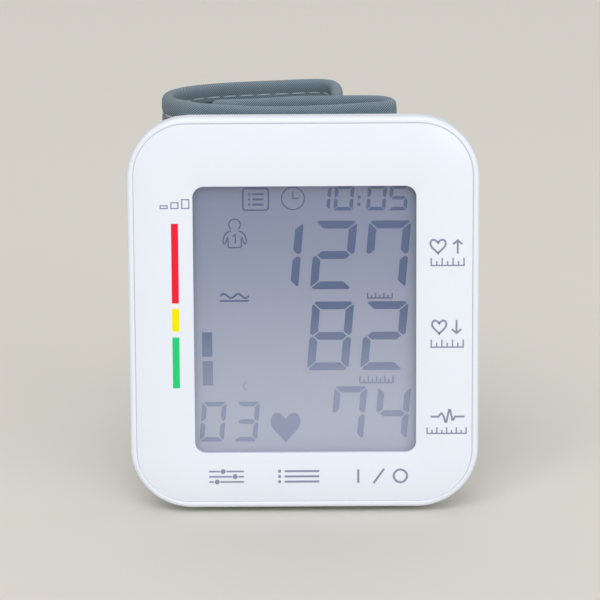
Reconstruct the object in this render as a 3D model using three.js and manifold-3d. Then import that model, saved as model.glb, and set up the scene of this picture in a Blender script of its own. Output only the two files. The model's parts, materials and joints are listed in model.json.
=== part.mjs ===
// Wrist blood pressure monitor, standing on its lower edge with the cuff behind it.
// Millimetres. X runs to the right, Y from the front face into the case, Z up.

import * as THREE from 'three';
import { mergeVertices } from 'three/addons/utils/BufferGeometryUtils.js';
import Module from 'manifold-3d';

const wasm = await Module();
wasm.setup();

// Clearances and the overrun of every cut

const fit = 0.3;
const seatGap = 0.1;
const overrun = 1;
const finish = 0.05;
const sliver = 0.01;

// Case: a shallow front cover and a deep rear cover that tapers towards the wrist

const shell = {
  width: 75,
  height: 86,
  cornerRadius: 13.3,
  edgeRadius: 0.9,
  wall: 1.8,
  frontDepth: 3,
  straightDepth: 3.6,
  rearDepth: 31.5,
  rearEdge: 1.4,
  taper: 0.252,
  cornerTaperShare: 0.4,
};

const plate = { back: 2.3, lipWidth: 1, lipReach: 2 };

const panel = { rim: 1.25, thickness: 0.4, sunk: 0.15, cornerRadius: 11.2, groove: 0.25 };

// The window keeps its borders when the case grows

const border = { side: 13.7, above: 14.95, below: 12.25 };

const glassWindow = {
  width: shell.width - 2 * border.side,
  height: shell.height - border.above - border.below,
  cornerRadius: 2.4,
  shiftX: 0.27,
  shiftZ: (border.below - border.above) / 2,
  ledge: 1.4,
  lensThickness: 0.9,
};

// Display stack behind the window

const display = {
  cellGap: 0.3,
  cellThickness: 2,
  cellMarginX: 1.6,
  cellMarginZ: 1.4,
  frameWall: 0.8,
  frameLedge: 3,
  elastomerHeight: 2.4,
};

// Two AAA cells stacked in depth behind a door in the right side wall

const cell = { diameter: 10.3, length: 44.5, noseDiameter: 3.8, noseLength: 0.9, edge: 0.5 };

const bayRoom = { fromSide: 12.9, wallFromSide: 18.6, ends: 6, base: 2.235, lowShare: 0.43 };

const bay = {
  x: shell.width / 2 - bayRoom.fromSide,
  frontY: 12.2,
  backY: 23,
  left: shell.width / 2 - bayRoom.wallFromSide,
  front: 6.6,
  bottom: bayRoom.base + bayRoom.lowShare * (shell.height - cell.length - bayRoom.ends),
  height: cell.length + bayRoom.ends,
  wall: 1.5,
};

// Main board with its components

const boardRoom = { side: 6.5, above: 16, bayGap: 0.8, footSide: 15, footGap: 1.4 };

const board = {
  front: 6.3,
  thickness: 1.2,
  left: boardRoom.side - shell.width / 2,
  right: bay.left - bay.wall - boardRoom.bayGap,
  bottom: 3,
  top: shell.height - boardRoom.above,
  footRight: shell.width / 2 - boardRoom.footSide,
  footTop: bay.bottom - bay.wall - boardRoom.footGap,
  cornerRadius: 6,
};

const chip = { side: 10, thickness: 1.4, fromRight: 10.6, below: 2.5 };
const buzzer = { diameter: 9, height: 4, fromRight: 7.6, below: 13, hole: 2 };
const sensor = { side: 7, height: 4.2, gap: 2.5, overBlock: 7, portDiameter: 2.6, portLength: 2.6 };

// Three keys under the flexible front panel

const keys = {
  z: 6.8,
  places: [-16.8, -1.3, 16],
  names: ['set_key', 'memory_key', 'power_key'],
  switchNames: ['set_switch', 'memory_switch', 'power_switch'],
  width: 9,
  powerWidth: 11,
  height: 4.2,
  cornerRadius: 1.6,
  front: 0.75,
  flange: 0.8,
  flangeThickness: 0.6,
  flangeGap: 0.3,
  plungerDiameter: 2.6,
  travel: 0.35,
  travelSpare: 0.05,
  switchSide: 5.6,
  switchHeight: 1.4,
};

// Saddle on the back of the case: the curve that the cuff plate and the near band follow

// The curve gets flatter as the case gets wider

const curveRoom = 88;
const saddle = { radius: 2 * shell.width - curveRoom, x: -3, depth: 27.4 };
const plateRoom = { left: 6, right: 16, edge: 7.2 };

const cuffPlate = {
  thickness: 1.6,
  left: plateRoom.left - shell.width / 2,
  right: shell.width / 2 - plateRoom.right,
  bottom: plateRoom.edge,
  top: shell.height - plateRoom.edge,
  cornerRadius: 3,
  pinDiameter: 4,
  pinX: 16,
  pinZ: 17,
  pinReach: 2.4,
};
// Contacts and the door of the battery bay

const contact = {
  thickness: 0.5,
  width: 7,
  springWire: 0.6,
  springDiameter: 6,
  springTurns: 3,
  stepsPerTurn: 10,
  wireSides: 5,
};

const door = {
  front: 5.2,
  back: 24,
  thickness: 1.5,
  cornerRadius: 1.2,
  ribDepth: 0.8,
  ribThickness: 1.2,
  ribShares: [0.3, 0.7],
  latchWidth: 7,
  latchDepth: 2,
  latchThickness: 1,
  latchInset: 0.6,
  gripWidth: 9,
  gripDepth: 0.5,
  gripHeight: 1,
  gripCount: 3,
  gripPitch: 2,
  openDegrees: 100,
};

// Air system: motor, crank, pump head, exhaust valve, manifold and hoses

const airRoom = { side: 17.5, spacing: 17, pumpBelow: 25, valveBelow: 23, blockFromTop: 25 };
const airShares = { motor: 22 / 86, head: 14 / 86, valve: 17 / 86, block: 12 / 86 };

const pump = {
  x: airRoom.side - shell.width / 2,
  y: 16.2,
  bottom: shell.height / 2 - airRoom.pumpBelow,
  motorDiameter: 14.6,
  motorLength: airShares.motor * shell.height,
  flatShare: 0.92,
  shaftDiameter: 1.5,
  shaftLength: 1.6,
  crankDiameter: 8,
  crankThickness: 2,
  crankPin: 1.4,
  crankPinLength: 1.6,
  crankOffset: 2.4,
  headDiameter: 15,
  headLength: airShares.head * shell.height,
  headBore: 11,
  headBoreDepth: 6.4,
  portDiameter: 2.6,
  portLength: 3,
};

const valve = {
  x: pump.x + airRoom.spacing,
  y: 14,
  bottom: shell.height / 2 - airRoom.valveBelow,
  diameter: 9,
  length: airShares.valve * shell.height,
  portDiameter: 2.6,
  portLength: 3,
};

const airBlock = {
  x: valve.x,
  y: 14,
  bottom: shell.height - airRoom.blockFromTop - airShares.block * shell.height,
  width: 10,
  depth: 8,
  height: airShares.block * shell.height,
  portDiameter: 2.6,
  portLength: 3,
  portSpread: 2.8,
  backPort: 1.5,
};

const hose = { outer: 3.8, sides: 8, gap: 0.3, steps: 14, portGrip: 0.2 };

const cradle = { thickness: 1.6, shares: [0.2, 0.8], side: 1.6 };

// Screws that pull the two covers together

const screw = {
  left: -15,
  right: 15,
  edgeZ: 10.1,
  headDiameter: 3.6,
  headHeight: 1.4,
  shankDiameter: 2,
  slotWidth: 0.7,
  slotDepth: 0.6,
  bossWall: 1.3,
  bossSplit: 12,
  headSeat: 22,
  reachInFront: 7,
};

// Cuff: a cloth band with a stiff former, rolled into a loop behind the case

const cuffRoom = { above: 3.7, hook: 32.3, loop: 22.3 };

const cuff = {
  height: shell.height - cuffRoom.above,
  thickness: 2.6,
  cloth: 0.5,
  former: 0.7,
  bladder: 0.5,
  lining: 0.6,
  hem: 4,
  hemGap: 0.3,
  layerGap: 0.1,
  cutGap: 0.3,
  hookThickness: 1,
  hookHeight: shell.height - cuffRoom.above - cuffRoom.hook,
  loopThickness: 0.35,
  loopHeight: shell.height - cuffRoom.above - cuffRoom.loop,
  loopLengthShare: 0.7,
  nippleDiameter: 2.6,
};

// The cuff's centre line seen from above: shares of the loop's width and depth, from its left front

const loopRoom = { left: 7.4, sides: 25.6, arcLeft: 11.1, arcRight: 23.5 };

const loop = {
  left: loopRoom.left - shell.width / 2,
  width: shell.width - loopRoom.sides,
  depth: 28.5,
  arcFrom: loopRoom.arcLeft - shell.width / 2,
  arcTo: shell.width / 2 - loopRoom.arcRight,
};
const leftBendShares = [[0.0055, 0.285], [0.009, 0.263], [0.034, 0.214]];
const arcShares = [0, 0.12, 0.26, 0.42, 0.58, 0.76, 0.9, 1];
const rightBendShares = [[0.97, 0.123], [0.992, 0.161], [1.0015, 0.198], [1.002, 0.215]];
const wrapShares = [
  [0.005, 0.299], [0.0035, 0.32], [0, 0.386], [0.018, 0.544], [0.067, 0.688], [0.146, 0.8],
  [0.294, 0.888], [0.445, 0.944], [0.597, 0.993], [0.676, 1], [0.723, 0.954], [0.747, 0.856],
  [0.759, 0.667], [0.763, 0.395],
];
const tailShares = [
  [1.002, 0.229], [1.0015, 0.246], [0.992, 0.281], [0.97, 0.312], [0.937, 0.328], [0.852, 0.326],
  [0.731, 0.312], [0.609, 0.27], [0.468, 0.196], [0.366, 0.161], [0.265, 0.151],
];
const hookShares = [[0.8, 0.414], [0.852, 0.417], [0.915, 0.416]];
const routeSteps = { base: 30, wrap: 34, tail: 24, hook: 6 };

// Facets

const facets = { corner: 7, edge: 3, round: 20, smallRound: 12, saddle: 24, windowCorner: 4 };

// Solids: closed meshes that can be joined and cut

function solidOf(geometry) {
  const bare = geometry.index ? geometry.toNonIndexed() : geometry.clone();
  bare.deleteAttribute('normal');
  bare.deleteAttribute('uv');
  const merged = mergeVertices(bare);
  const mesh = new wasm.Mesh({
    numProp: 3,
    vertProperties: new Float32Array(merged.attributes.position.array),
    triVerts: new Uint32Array(merged.index.array),
  });
  return new wasm.Manifold(mesh);
}

function geometryOf(solid) {
  const mesh = solid.getMesh();
  const geometry = new THREE.BufferGeometry();
  geometry.setAttribute('position', new THREE.BufferAttribute(mesh.vertProperties, 3));
  geometry.setIndex(new THREE.BufferAttribute(mesh.triVerts, 1));
  const faceted = geometry.toNonIndexed();
  faceted.computeVertexNormals();
  return faceted;
}

function joined(first, ...others) {
  return others.reduce((whole, solid) => whole.add(solid), first);
}

function cutBy(first, ...cutters) {
  return cutters.reduce((left, solid) => left.subtract(solid), first);
}

// Slivers that cuts leave along a leaning wall are merged away, and the largest surface is kept

function tidied(solid) {
  const bodies = solid.simplify(sliver).decompose();
  return bodies.reduce((large, body) => (body.volume() > large.volume() ? body : large));
}

function block(x0, x1, y0, y1, z0, z1) {
  const box = new THREE.BoxGeometry(x1 - x0, y1 - y0, z1 - z0);
  return solidOf(box.translate((x0 + x1) / 2, (y0 + y1) / 2, (z0 + z1) / 2));
}

// A cylinder along Z or Y that starts at the given level

function postZ(diameter, x, y, z0, z1, sides = facets.round) {
  const post = new THREE.CylinderGeometry(diameter / 2, diameter / 2, z1 - z0, sides);
  return solidOf(post.rotateX(Math.PI / 2).translate(x, y, (z0 + z1) / 2));
}

function postY(diameter, x, y0, y1, z, sides = facets.round) {
  const post = new THREE.CylinderGeometry(diameter / 2, diameter / 2, y1 - y0, sides);
  return solidOf(post.translate(x, (y0 + y1) / 2, z));
}

// Rounded rectangle as a list of points, from the right side round to it again

function roundedPoints(halfWidth, halfHeight, radius, x, z, steps = facets.corner) {
  const points = [];
  const corners = [[1, 1], [-1, 1], [-1, -1], [1, -1]];
  corners.forEach(([sideX, sideZ], index) => {
    for (let step = 0; step <= steps; step += 1) {
      const angle = (index + step / steps) * (Math.PI / 2);
      points.push([
        x + sideX * (halfWidth - radius) + radius * Math.cos(angle),
        z + sideZ * (halfHeight - radius) + radius * Math.sin(angle),
      ]);
    }
  });
  return points;
}

// A solid through outlines of equal count in X and Z, one at each depth, capped at both ends

function loft(layers) {
  const count = layers[0].points.length;
  const positions = [];
  const corner = (layer, index) => {
    const [x, z] = layers[layer].points[index % count];
    return [x, layers[layer].y, z];
  };
  for (let layer = 0; layer < layers.length - 1; layer += 1) {
    for (let index = 0; index < count; index += 1) {
      const a = corner(layer, index);
      const b = corner(layer, index + 1);
      const c = corner(layer + 1, index + 1);
      const d = corner(layer + 1, index);
      positions.push(...a, ...d, ...b, ...b, ...d, ...c);
    }
  }
  const outline = layers[0].points.map(([x, z]) => new THREE.Vector2(x, z));
  THREE.ShapeUtils.triangulateShape(outline, []).forEach(([a, b, c]) => {
    positions.push(...corner(0, a), ...corner(0, b), ...corner(0, c));
    const last = layers.length - 1;
    positions.push(...corner(last, a), ...corner(last, c), ...corner(last, b));
  });
  const geometry = new THREE.BufferGeometry();
  geometry.setAttribute('position', new THREE.Float32BufferAttribute(positions, 3));
  return solidOf(geometry);
}

function slab(halfWidth, halfHeight, radius, x, z, y0, y1, steps = facets.corner) {
  const points = roundedPoints(halfWidth, halfHeight, radius, x, z, steps);
  return loft([{ points, y: y0 }, { points, y: y1 }]);
}

// A plan outline, seen from above, raised along Z

function raised(points, z0, z1) {
  const shape = new THREE.Shape(points.map(([x, y]) => new THREE.Vector2(x, y)));
  const plan = new THREE.ExtrudeGeometry(shape, { depth: z1 - z0, bevelEnabled: false });
  return solidOf(plan.translate(0, 0, z0));
}

// Places that several pieces share

const middle = shell.height / 2;
const windowCentre = { x: glassWindow.shiftX, z: middle + glassWindow.shiftZ };
const seam = shell.frontDepth + seatGap;
const plateFront = panel.thickness + panel.sunk + seatGap / 2;
const cellFront = plate.back + display.cellGap;
const cellBack = cellFront + display.cellThickness;
const boardBack = board.front + board.thickness;
const chipAt = { x: board.right - chip.fromRight, z: middle - chip.below };
const buzzerAt = { x: board.right - buzzer.fromRight, z: middle - buzzer.below };
const sensorAt = {
  x: airBlock.x + airBlock.width / 2 + sensor.gap + sensor.side / 2,
  z: airBlock.bottom + sensor.overBlock,
};
const saddleCentreY = saddle.depth + saddle.radius;
const sideAngle = Math.atan(shell.taper);

function taperAt(y) {
  return shell.taper * Math.max(0, y - shell.straightDepth);
}

// Outline of the case at a depth, set in by a wall

function caseOutline(y, inset) {
  const drop = taperAt(y) + inset;
  const radius = shell.cornerRadius - shell.cornerTaperShare * taperAt(y) - inset;
  return roundedPoints(shell.width / 2 - drop, middle - drop, radius, 0, middle);
}

function edgeLayers(y, radius, backwards) {
  const layers = [];
  for (let step = 0; step <= facets.edge; step += 1) {
    const angle = (step / facets.edge) * (Math.PI / 2);
    const inset = radius * (1 - Math.sin(angle));
    const reach = radius * (1 - Math.cos(angle));
    const depth = backwards ? y - reach : y + reach;
    layers.push({ points: caseOutline(depth, inset), y: depth });
  }
  return backwards ? layers.reverse() : layers;
}

// The block behind the saddle curve, seen from above, moved towards the front by an offset

function behindSaddle(offset) {
  const radius = saddle.radius + offset;
  const reach = shell.width / 2 + overrun;
  const points = [];
  for (let step = 0; step <= facets.saddle; step += 1) {
    const x = -reach + (2 * reach * step) / facets.saddle;
    const run = x - saddle.x;
    points.push([x, saddleCentreY - Math.sqrt(radius * radius - run * run)]);
  }
  points.push([reach, saddleCentreY], [-reach, saddleCentreY]);
  return raised(points, -overrun, shell.height + overrun);
}

// The side wall that carries the battery door leans in by the taper

function onSideWall(geometry) {
  return geometry.rotateZ(sideAngle).translate(shell.width / 2, shell.straightDepth, 0);
}

function sideSlab(n0, n1, u0, u1, z0, z1, radius) {
  const points = roundedPoints((u1 - u0) / 2, (z1 - z0) / 2, radius, (u0 + u1) / 2, (z0 + z1) / 2);
  const shape = new THREE.Shape(points.map(([u, z]) => new THREE.Vector2(u, z)));
  const plan = new THREE.ExtrudeGeometry(shape, { depth: n1 - n0, bevelEnabled: false });
  plan.translate(0, 0, n0);
  plan.rotateX(Math.PI / 2).rotateZ(Math.PI / 2);
  return plan;
}

// Front cover: rim, recess for the printed panel, lens seat, key holes, lip and screw bosses

function screwPlaces() {
  return [[screw.left, shell.height - screw.edgeZ], [screw.right, shell.height - screw.edgeZ]];
}

function windowSlab(grow, y0, y1) {
  return slab(
    glassWindow.width / 2 + grow, glassWindow.height / 2 + grow,
    glassWindow.cornerRadius + grow, windowCentre.x, windowCentre.z, y0, y1, facets.windowCorner,
  );
}

function keyWidth(index) {
  return index === keys.places.length - 1 ? keys.powerWidth : keys.width;
}

function keySlab(index, grow, y0, y1) {
  return slab(
    keyWidth(index) / 2 + grow, keys.height / 2 + grow, keys.cornerRadius + grow,
    keys.places[index], keys.z, y0, y1, facets.windowCorner,
  );
}

function lipBody(inset, y0, y1) {
  return loft([
    { points: caseOutline(0, inset), y: y0 },
    { points: caseOutline(shell.straightDepth, inset), y: shell.straightDepth },
    { points: caseOutline(y1, inset), y: y1 },
  ]);
}

function frontCover() {
  const face = edgeLayers(0, shell.edgeRadius, false);
  const outer = loft([...face, { points: caseOutline(shell.frontDepth, 0), y: shell.frontDepth }]);
  const rim = panel.rim;
  const recess = slab(
    shell.width / 2 - rim, middle - rim, panel.cornerRadius, 0, middle, -overrun, plateFront,
  );
  const hollow = loft([
    { points: caseOutline(0, shell.wall + plate.lipWidth), y: plate.back },
    { points: caseOutline(0, shell.wall + plate.lipWidth), y: shell.frontDepth + overrun },
  ]);
  const lipEnd = shell.frontDepth + plate.lipReach;
  const lip = lipBody(shell.wall + seatGap, plate.back + finish, lipEnd);
  const lipHollow = lipBody(shell.wall + plate.lipWidth, plate.back, lipEnd + overrun);
  let cover = joined(cutBy(outer, hollow), cutBy(lip, lipHollow));
  cover = cutBy(
    cover, recess,
    windowSlab(glassWindow.ledge, -overrun, plateFront + glassWindow.lensThickness + seatGap),
    windowSlab(fit, -overrun, plate.back + overrun),
    ...keys.places.map((_, index) => keySlab(index, fit, -overrun, plate.back + overrun)),
  );
  const bossDiameter = screw.shankDiameter + 2 * screw.bossWall;
  screwPlaces().forEach(([x, z]) => {
    const boss = postY(bossDiameter, x, plate.back - finish, screw.bossSplit, z);
    const pilot = postY(
      screw.shankDiameter + seatGap, x, screw.bossSplit - screw.reachInFront - fit,
      screw.bossSplit + overrun, z, facets.smallRound,
    );
    cover = cutBy(joined(cover, boss), pilot);
  });
  return cover;
}

// Printed panel let into the front cover, in one piece over the keys, open at the window

function frontPanel() {
  const inset = panel.rim + panel.groove;
  const sheet = slab(
    shell.width / 2 - inset, middle - inset, panel.cornerRadius - panel.groove, 0, middle,
    panel.sunk, panel.sunk + panel.thickness,
  );
  return cutBy(sheet, windowSlab(0, 0, plateFront + overrun));
}

function displayLens() {
  const front = plateFront + finish;
  return windowSlab(glassWindow.ledge - fit / 2, front, front + glassWindow.lensThickness);
}

// Display cell, the frame round it and the strip that joins it to the board

function cellBlock(grow, y0, y1) {
  const halfX = glassWindow.width / 2 + display.cellMarginX + grow;
  const halfZ = glassWindow.height / 2 + display.cellMarginZ + grow;
  return block(
    windowCentre.x - halfX, windowCentre.x + halfX, y0, y1,
    windowCentre.z - halfZ, windowCentre.z + halfZ,
  );
}

function displayCell() {
  return cellBlock(0, cellFront, cellBack);
}

function displayFrame() {
  const outer = cellBlock(seatGap + display.frameWall, cellFront, cellBack + fit);
  return cutBy(outer, cellBlock(seatGap, cellFront - overrun, cellBack + overrun));
}

function elastomerStrip() {
  const bottom = windowCentre.z - glassWindow.height / 2;
  return block(
    -glassWindow.width / 2, bay.left - bay.wall - display.frameLedge, cellBack + seatGap,
    board.front - seatGap, bottom, bottom + display.elastomerHeight,
  );
}

// Main board with a foot under the battery bay, and what sits on it

function mainBoard() {
  const halfX = (board.right - board.left) / 2;
  const halfZ = (board.top - board.bottom) / 2;
  const sheet = slab(
    halfX, halfZ, board.cornerRadius, board.left + halfX, board.bottom + halfZ, board.front,
    boardBack, facets.windowCorner,
  );
  const foot = block(0, board.footRight, board.front, boardBack, board.bottom, board.footTop);
  return joined(sheet, foot);
}

function controlChip() {
  const half = chip.side / 2;
  const seat = boardBack + seatGap;
  return block(
    chipAt.x - half, chipAt.x + half, seat, seat + chip.thickness, chipAt.z - half, chipAt.z + half,
  );
}

function buzzerCan() {
  const seat = boardBack + seatGap;
  const can = postY(buzzer.diameter, buzzerAt.x, seat, seat + buzzer.height, buzzerAt.z);
  const hole = postY(
    buzzer.hole, buzzerAt.x, seat + buzzer.height / 2, seat + buzzer.height + overrun, buzzerAt.z,
    facets.smallRound,
  );
  return cutBy(can, hole);
}

function pressureSensor() {
  const half = sensor.side / 2;
  const seat = boardBack + seatGap;
  const body = block(
    sensorAt.x - half, sensorAt.x + half, seat, seat + sensor.height,
    sensorAt.z - half, sensorAt.z + half,
  );
  const port = postZ(
    sensor.portDiameter, sensorAt.x, seat + sensor.height / 2, sensorAt.z + half - finish,
    sensorAt.z + half + sensor.portLength, facets.smallRound,
  );
  return joined(body, port);
}

// A key: cap in the cover's hole, flange behind it and a plunger over its switch

const flangeFront = plate.back + keys.flangeGap;
const switchFront = board.front - keys.switchHeight - seatGap;

function pushKey(index) {
  const cap = keySlab(index, 0, keys.front, flangeFront + finish);
  const flange = keySlab(index, keys.flange, flangeFront, flangeFront + keys.flangeThickness);
  const plunger = postY(
    keys.plungerDiameter, keys.places[index], flangeFront + keys.flangeThickness - finish,
    switchFront - keys.travel - keys.travelSpare, keys.z, facets.smallRound,
  );
  return joined(cap, flange, plunger);
}

function keySwitch(index) {
  const half = keys.switchSide / 2;
  const x = keys.places[index];
  const bottom = Math.max(board.bottom, keys.z - half);
  return block(x - half, x + half, switchFront, board.front - seatGap, bottom, keys.z + half);
}

// Rear cover: tapered shell with the saddle, battery bay, cradles, screw bosses and openings

const bayTop = bay.bottom + bay.height;
const rearFace = cuffPlate.thickness + fit;

function rearOuter() {
  const shape = loft([
    { points: caseOutline(seam, 0), y: seam },
    { points: caseOutline(shell.straightDepth, 0), y: shell.straightDepth },
    ...edgeLayers(shell.rearDepth, shell.rearEdge, true),
  ]);
  return cutBy(shape, behindSaddle(rearFace));
}

function rearCavity(wall) {
  const shape = loft([
    { points: caseOutline(0, wall), y: 0 },
    { points: caseOutline(shell.straightDepth, wall), y: shell.straightDepth },
    { points: caseOutline(shell.rearDepth, wall), y: shell.rearDepth - wall },
  ]);
  return cutBy(shape, behindSaddle(rearFace + wall));
}

function bayBlock(grow) {
  return block(
    bay.left - grow, shell.width / 2, bay.front - grow, shell.rearDepth,
    bay.bottom - grow, bayTop + grow,
  );
}

function cradleRibs(x, y, diameter, bottom, length) {
  const half = diameter / 2 + cradle.side;
  const ribs = cradle.shares.map((share) => {
    const z = bottom + share * length - cradle.thickness / 2;
    return block(x - half, x + half, y, shell.rearDepth, z, z + cradle.thickness);
  });
  const seat = postZ(diameter + 2 * fit, x, y, bottom - overrun, bottom + length + overrun);
  return ribs.map((rib) => cutBy(rib, seat));
}

function airBlockRibs() {
  const half = airBlock.width / 2;
  return cradle.shares.map((share) => {
    const z = airBlock.bottom + share * airBlock.height - cradle.thickness / 2;
    const front = airBlock.y + airBlock.depth / 2 + fit;
    return block(
      airBlock.x - half, airBlock.x + half, front, shell.rearDepth, z, z + cradle.thickness,
    );
  });
}

function doorSlot(grow, n0, n1) {
  const slot = sideSlab(
    n0, n1, door.front - grow, door.back + grow, bay.bottom + fit - grow, bayTop - fit + grow,
    door.cornerRadius,
  );
  return solidOf(onSideWall(slot));
}

function pinPlaces() {
  const places = [];
  [-1, 1].forEach((sideX) => {
    [-1, 1].forEach((sideZ) => {
      places.push([saddle.x + sideX * cuffPlate.pinX, middle + sideZ * cuffPlate.pinZ]);
    });
  });
  return places;
}

function saddleDepthAt(x, offset) {
  const radius = saddle.radius + offset;
  const run = x - saddle.x;
  return saddleCentreY - Math.sqrt(radius * radius - run * run);
}

function rearCover() {
  const outer = rearOuter();
  const cavity = rearCavity(shell.wall);
  const halfIntoWall = rearCavity(shell.wall / 2);
  const bayWalls = cutBy(bayBlock(bay.wall), bayBlock(0));
  const inside = joined(
    bayWalls,
    ...cradleRibs(pump.x, pump.y, pump.motorDiameter, pump.bottom, pump.motorLength),
    ...cradleRibs(valve.x, valve.y, valve.diameter, valve.bottom, valve.length),
    ...airBlockRibs(),
    ...screwPlaces().map(([x, z]) => postY(
      screw.shankDiameter + 2 * screw.bossWall, x, screw.bossSplit + seatGap, shell.rearDepth, z,
    )),
  );
  let cover = joined(cutBy(outer, cavity), inside.intersect(halfIntoWall));
  screwPlaces().forEach(([x, z]) => {
    const shank = postY(
      screw.shankDiameter + 2 * seatGap, x, 0, shell.rearDepth, z, facets.smallRound,
    );
    const head = postY(
      screw.headDiameter + 2 * seatGap, x, screw.headSeat, shell.rearDepth + overrun, z,
    );
    cover = cutBy(cover, shank, head);
  });
  pinPlaces().forEach(([x, z]) => {
    const depth = saddleDepthAt(x, rearFace);
    const hole = postY(
      cuffPlate.pinDiameter + 2 * fit, x, depth - 2 * shell.wall, depth + overrun + shell.wall, z,
      facets.smallRound,
    );
    cover = cutBy(cover, hole);
  });
  const airHole = postY(
    hose.outer + 2 * fit, airBlock.x, airBlock.y + airBlock.depth / 2, shell.rearDepth,
    airPortZ, facets.smallRound,
  );
  return tidied(cutBy(cover, airHole, doorSlot(fit, -shell.wall - fit, overrun)));
}

const airPortZ = airBlock.bottom + airBlock.height / 2;

// Cuff plate: the curved plate that carries the cuff, pinned into the rear cover

function cuffPlateSolid() {
  const points = [];
  for (let step = 0; step <= facets.saddle; step += 1) {
    const x = cuffPlate.left + ((cuffPlate.right - cuffPlate.left) * step) / facets.saddle;
    points.push([x, saddleDepthAt(x, cuffPlate.thickness)]);
  }
  for (let step = facets.saddle; step >= 0; step -= 1) {
    const x = cuffPlate.left + ((cuffPlate.right - cuffPlate.left) * step) / facets.saddle;
    points.push([x, saddleDepthAt(x, 0)]);
  }
  const halfX = (cuffPlate.right - cuffPlate.left) / 2;
  const halfZ = (cuffPlate.top - cuffPlate.bottom) / 2;
  const outline = slab(
    halfX, halfZ, cuffPlate.cornerRadius, cuffPlate.left + halfX, cuffPlate.bottom + halfZ,
    0, saddleCentreY, facets.windowCorner,
  );
  const plateSolid = raised(points, cuffPlate.bottom - overrun, cuffPlate.top + overrun);
  const pins = pinPlaces().map(([x, z]) => {
    const seat = saddleDepthAt(x, cuffPlate.thickness);
    return postY(
      cuffPlate.pinDiameter, x, seat - cuffPlate.pinReach, seat + finish + cuffPlate.thickness / 2, z,
      facets.smallRound,
    );
  });
  const airHole = postY(
    hose.outer + 2 * fit, airBlock.x, airBlock.y, saddleCentreY, airPortZ, facets.smallRound,
  );
  return cutBy(joined(plateSolid.intersect(outline), ...pins), airHole);
}

// Screws with a cross slot

function caseScrew(place) {
  const [x, z] = place;
  const tip = screw.bossSplit - screw.reachInFront;
  const shank = postY(screw.shankDiameter, x, tip, screw.headSeat + finish, z, facets.smallRound);
  const headBack = screw.headSeat + seatGap + screw.headHeight;
  const head = postY(screw.headDiameter, x, screw.headSeat + seatGap, headBack, z);
  const half = screw.slotWidth / 2;
  const arm = screw.headDiameter / 2 - half;
  const floor = headBack - screw.slotDepth;
  return cutBy(
    joined(shank, postY(
      screw.shankDiameter, x, screw.headSeat, headBack - screw.slotDepth, z, facets.smallRound,
    ), head),
    block(x - half, x + half, floor, headBack + overrun, z - arm, z + arm),
    block(x - arm, x + arm, floor, headBack + overrun, z - half, z + half),
  );
}

// Battery cell: can with a rounded edge and a nose at its positive end

function batteryCell(y, upright) {
  const radius = cell.diameter / 2;
  const shoulder = cell.length - cell.noseLength;
  const profile = [
    [0, 0], [radius - cell.edge, 0], [radius, cell.edge], [radius, shoulder - cell.edge],
    [radius - cell.edge, shoulder], [cell.noseDiameter / 2, shoulder],
    [cell.noseDiameter / 2, cell.length], [0, cell.length],
  ];
  const can = new THREE.LatheGeometry(profile.map(([r, h]) => new THREE.Vector2(r, h)), facets.round);
  can.rotateX(upright ? Math.PI / 2 : -Math.PI / 2);
  const springRoom = bay.height - cell.length - contact.thickness - 2 * seatGap;
  const z = upright ? bay.bottom + springRoom : bayTop - springRoom;
  return solidOf(can.translate(bay.x, y, z));
}

// Contacts: flat plates against the bay's ends and a coil under each negative end

function contactPlate(yFrom, yTo, atTop) {
  const half = contact.width / 2;
  const z = atTop ? bayTop - contact.thickness - seatGap : bay.bottom + seatGap;
  return block(bay.x - half, bay.x + half, yFrom, yTo, z, z + contact.thickness);
}

function contactCoil(y, z0, z1) {
  const points = [];
  const count = contact.springTurns * contact.stepsPerTurn;
  const radius = (contact.springDiameter - contact.springWire) / 2;
  const rise = z1 - z0 - contact.springWire - 2 * seatGap;
  for (let step = 0; step <= count; step += 1) {
    const angle = (step / contact.stepsPerTurn) * 2 * Math.PI;
    points.push(new THREE.Vector3(
      bay.x + radius * Math.cos(angle), y + radius * Math.sin(angle),
      z0 + seatGap + contact.springWire / 2 + (rise * step) / count,
    ));
  }
  return tubeAlong(new THREE.CatmullRomCurve3(points), contact.springWire, contact.wireSides, count);
}

function tubeAlong(curve, diameter, sides, steps) {
  const ring = [];
  for (let side = 0; side < sides; side += 1) {
    const angle = (side / sides) * 2 * Math.PI;
    ring.push(new THREE.Vector2((diameter / 2) * Math.cos(angle), (diameter / 2) * Math.sin(angle)));
  }
  return solidOf(new THREE.ExtrudeGeometry(new THREE.Shape(ring), { steps, extrudePath: curve }));
}

// Battery door in the side wall: plate, ribs that keep the cells down, latch and grip ridges

function batteryDoor() {
  const bottom = bay.bottom + fit;
  const top = bayTop - fit;
  const inner = -door.thickness;
  const pieces = [sideSlab(inner, 0, door.front, door.back, bottom, top, door.cornerRadius)];
  const centre = (door.front + door.back) / 2;
  door.ribShares.forEach((share) => {
    const z = bottom + share * (top - bottom);
    const rib = new THREE.BoxGeometry(
      door.ribDepth + finish, door.back - door.front - 2 * door.thickness, door.ribThickness,
    );
    pieces.push(rib.translate(inner - door.ribDepth / 2 + finish / 2, centre, z));
  });
  const latch = new THREE.BoxGeometry(door.latchDepth + finish, door.latchWidth, door.latchThickness);
  pieces.push(latch.translate(
    inner - door.latchDepth / 2 + finish / 2, centre, bottom + door.latchInset + door.latchThickness / 2,
  ));
  const body = joined(...pieces.map((piece) => solidOf(onSideWall(piece))));
  const grips = [];
  for (let index = 0; index < door.gripCount; index += 1) {
    const z = bottom + door.gripPitch * (index + 1);
    const grip = new THREE.BoxGeometry(2 * door.gripDepth, door.gripWidth, door.gripHeight);
    grips.push(solidOf(onSideWall(grip.translate(0, centre, z + door.gripHeight / 2))));
  }
  return cutBy(body, ...grips);
}

// Air pump: motor with flats, crank in the head's bore and the head with its port

const motorTop = pump.bottom + pump.motorLength;
const headBottom = motorTop + seatGap;

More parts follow.
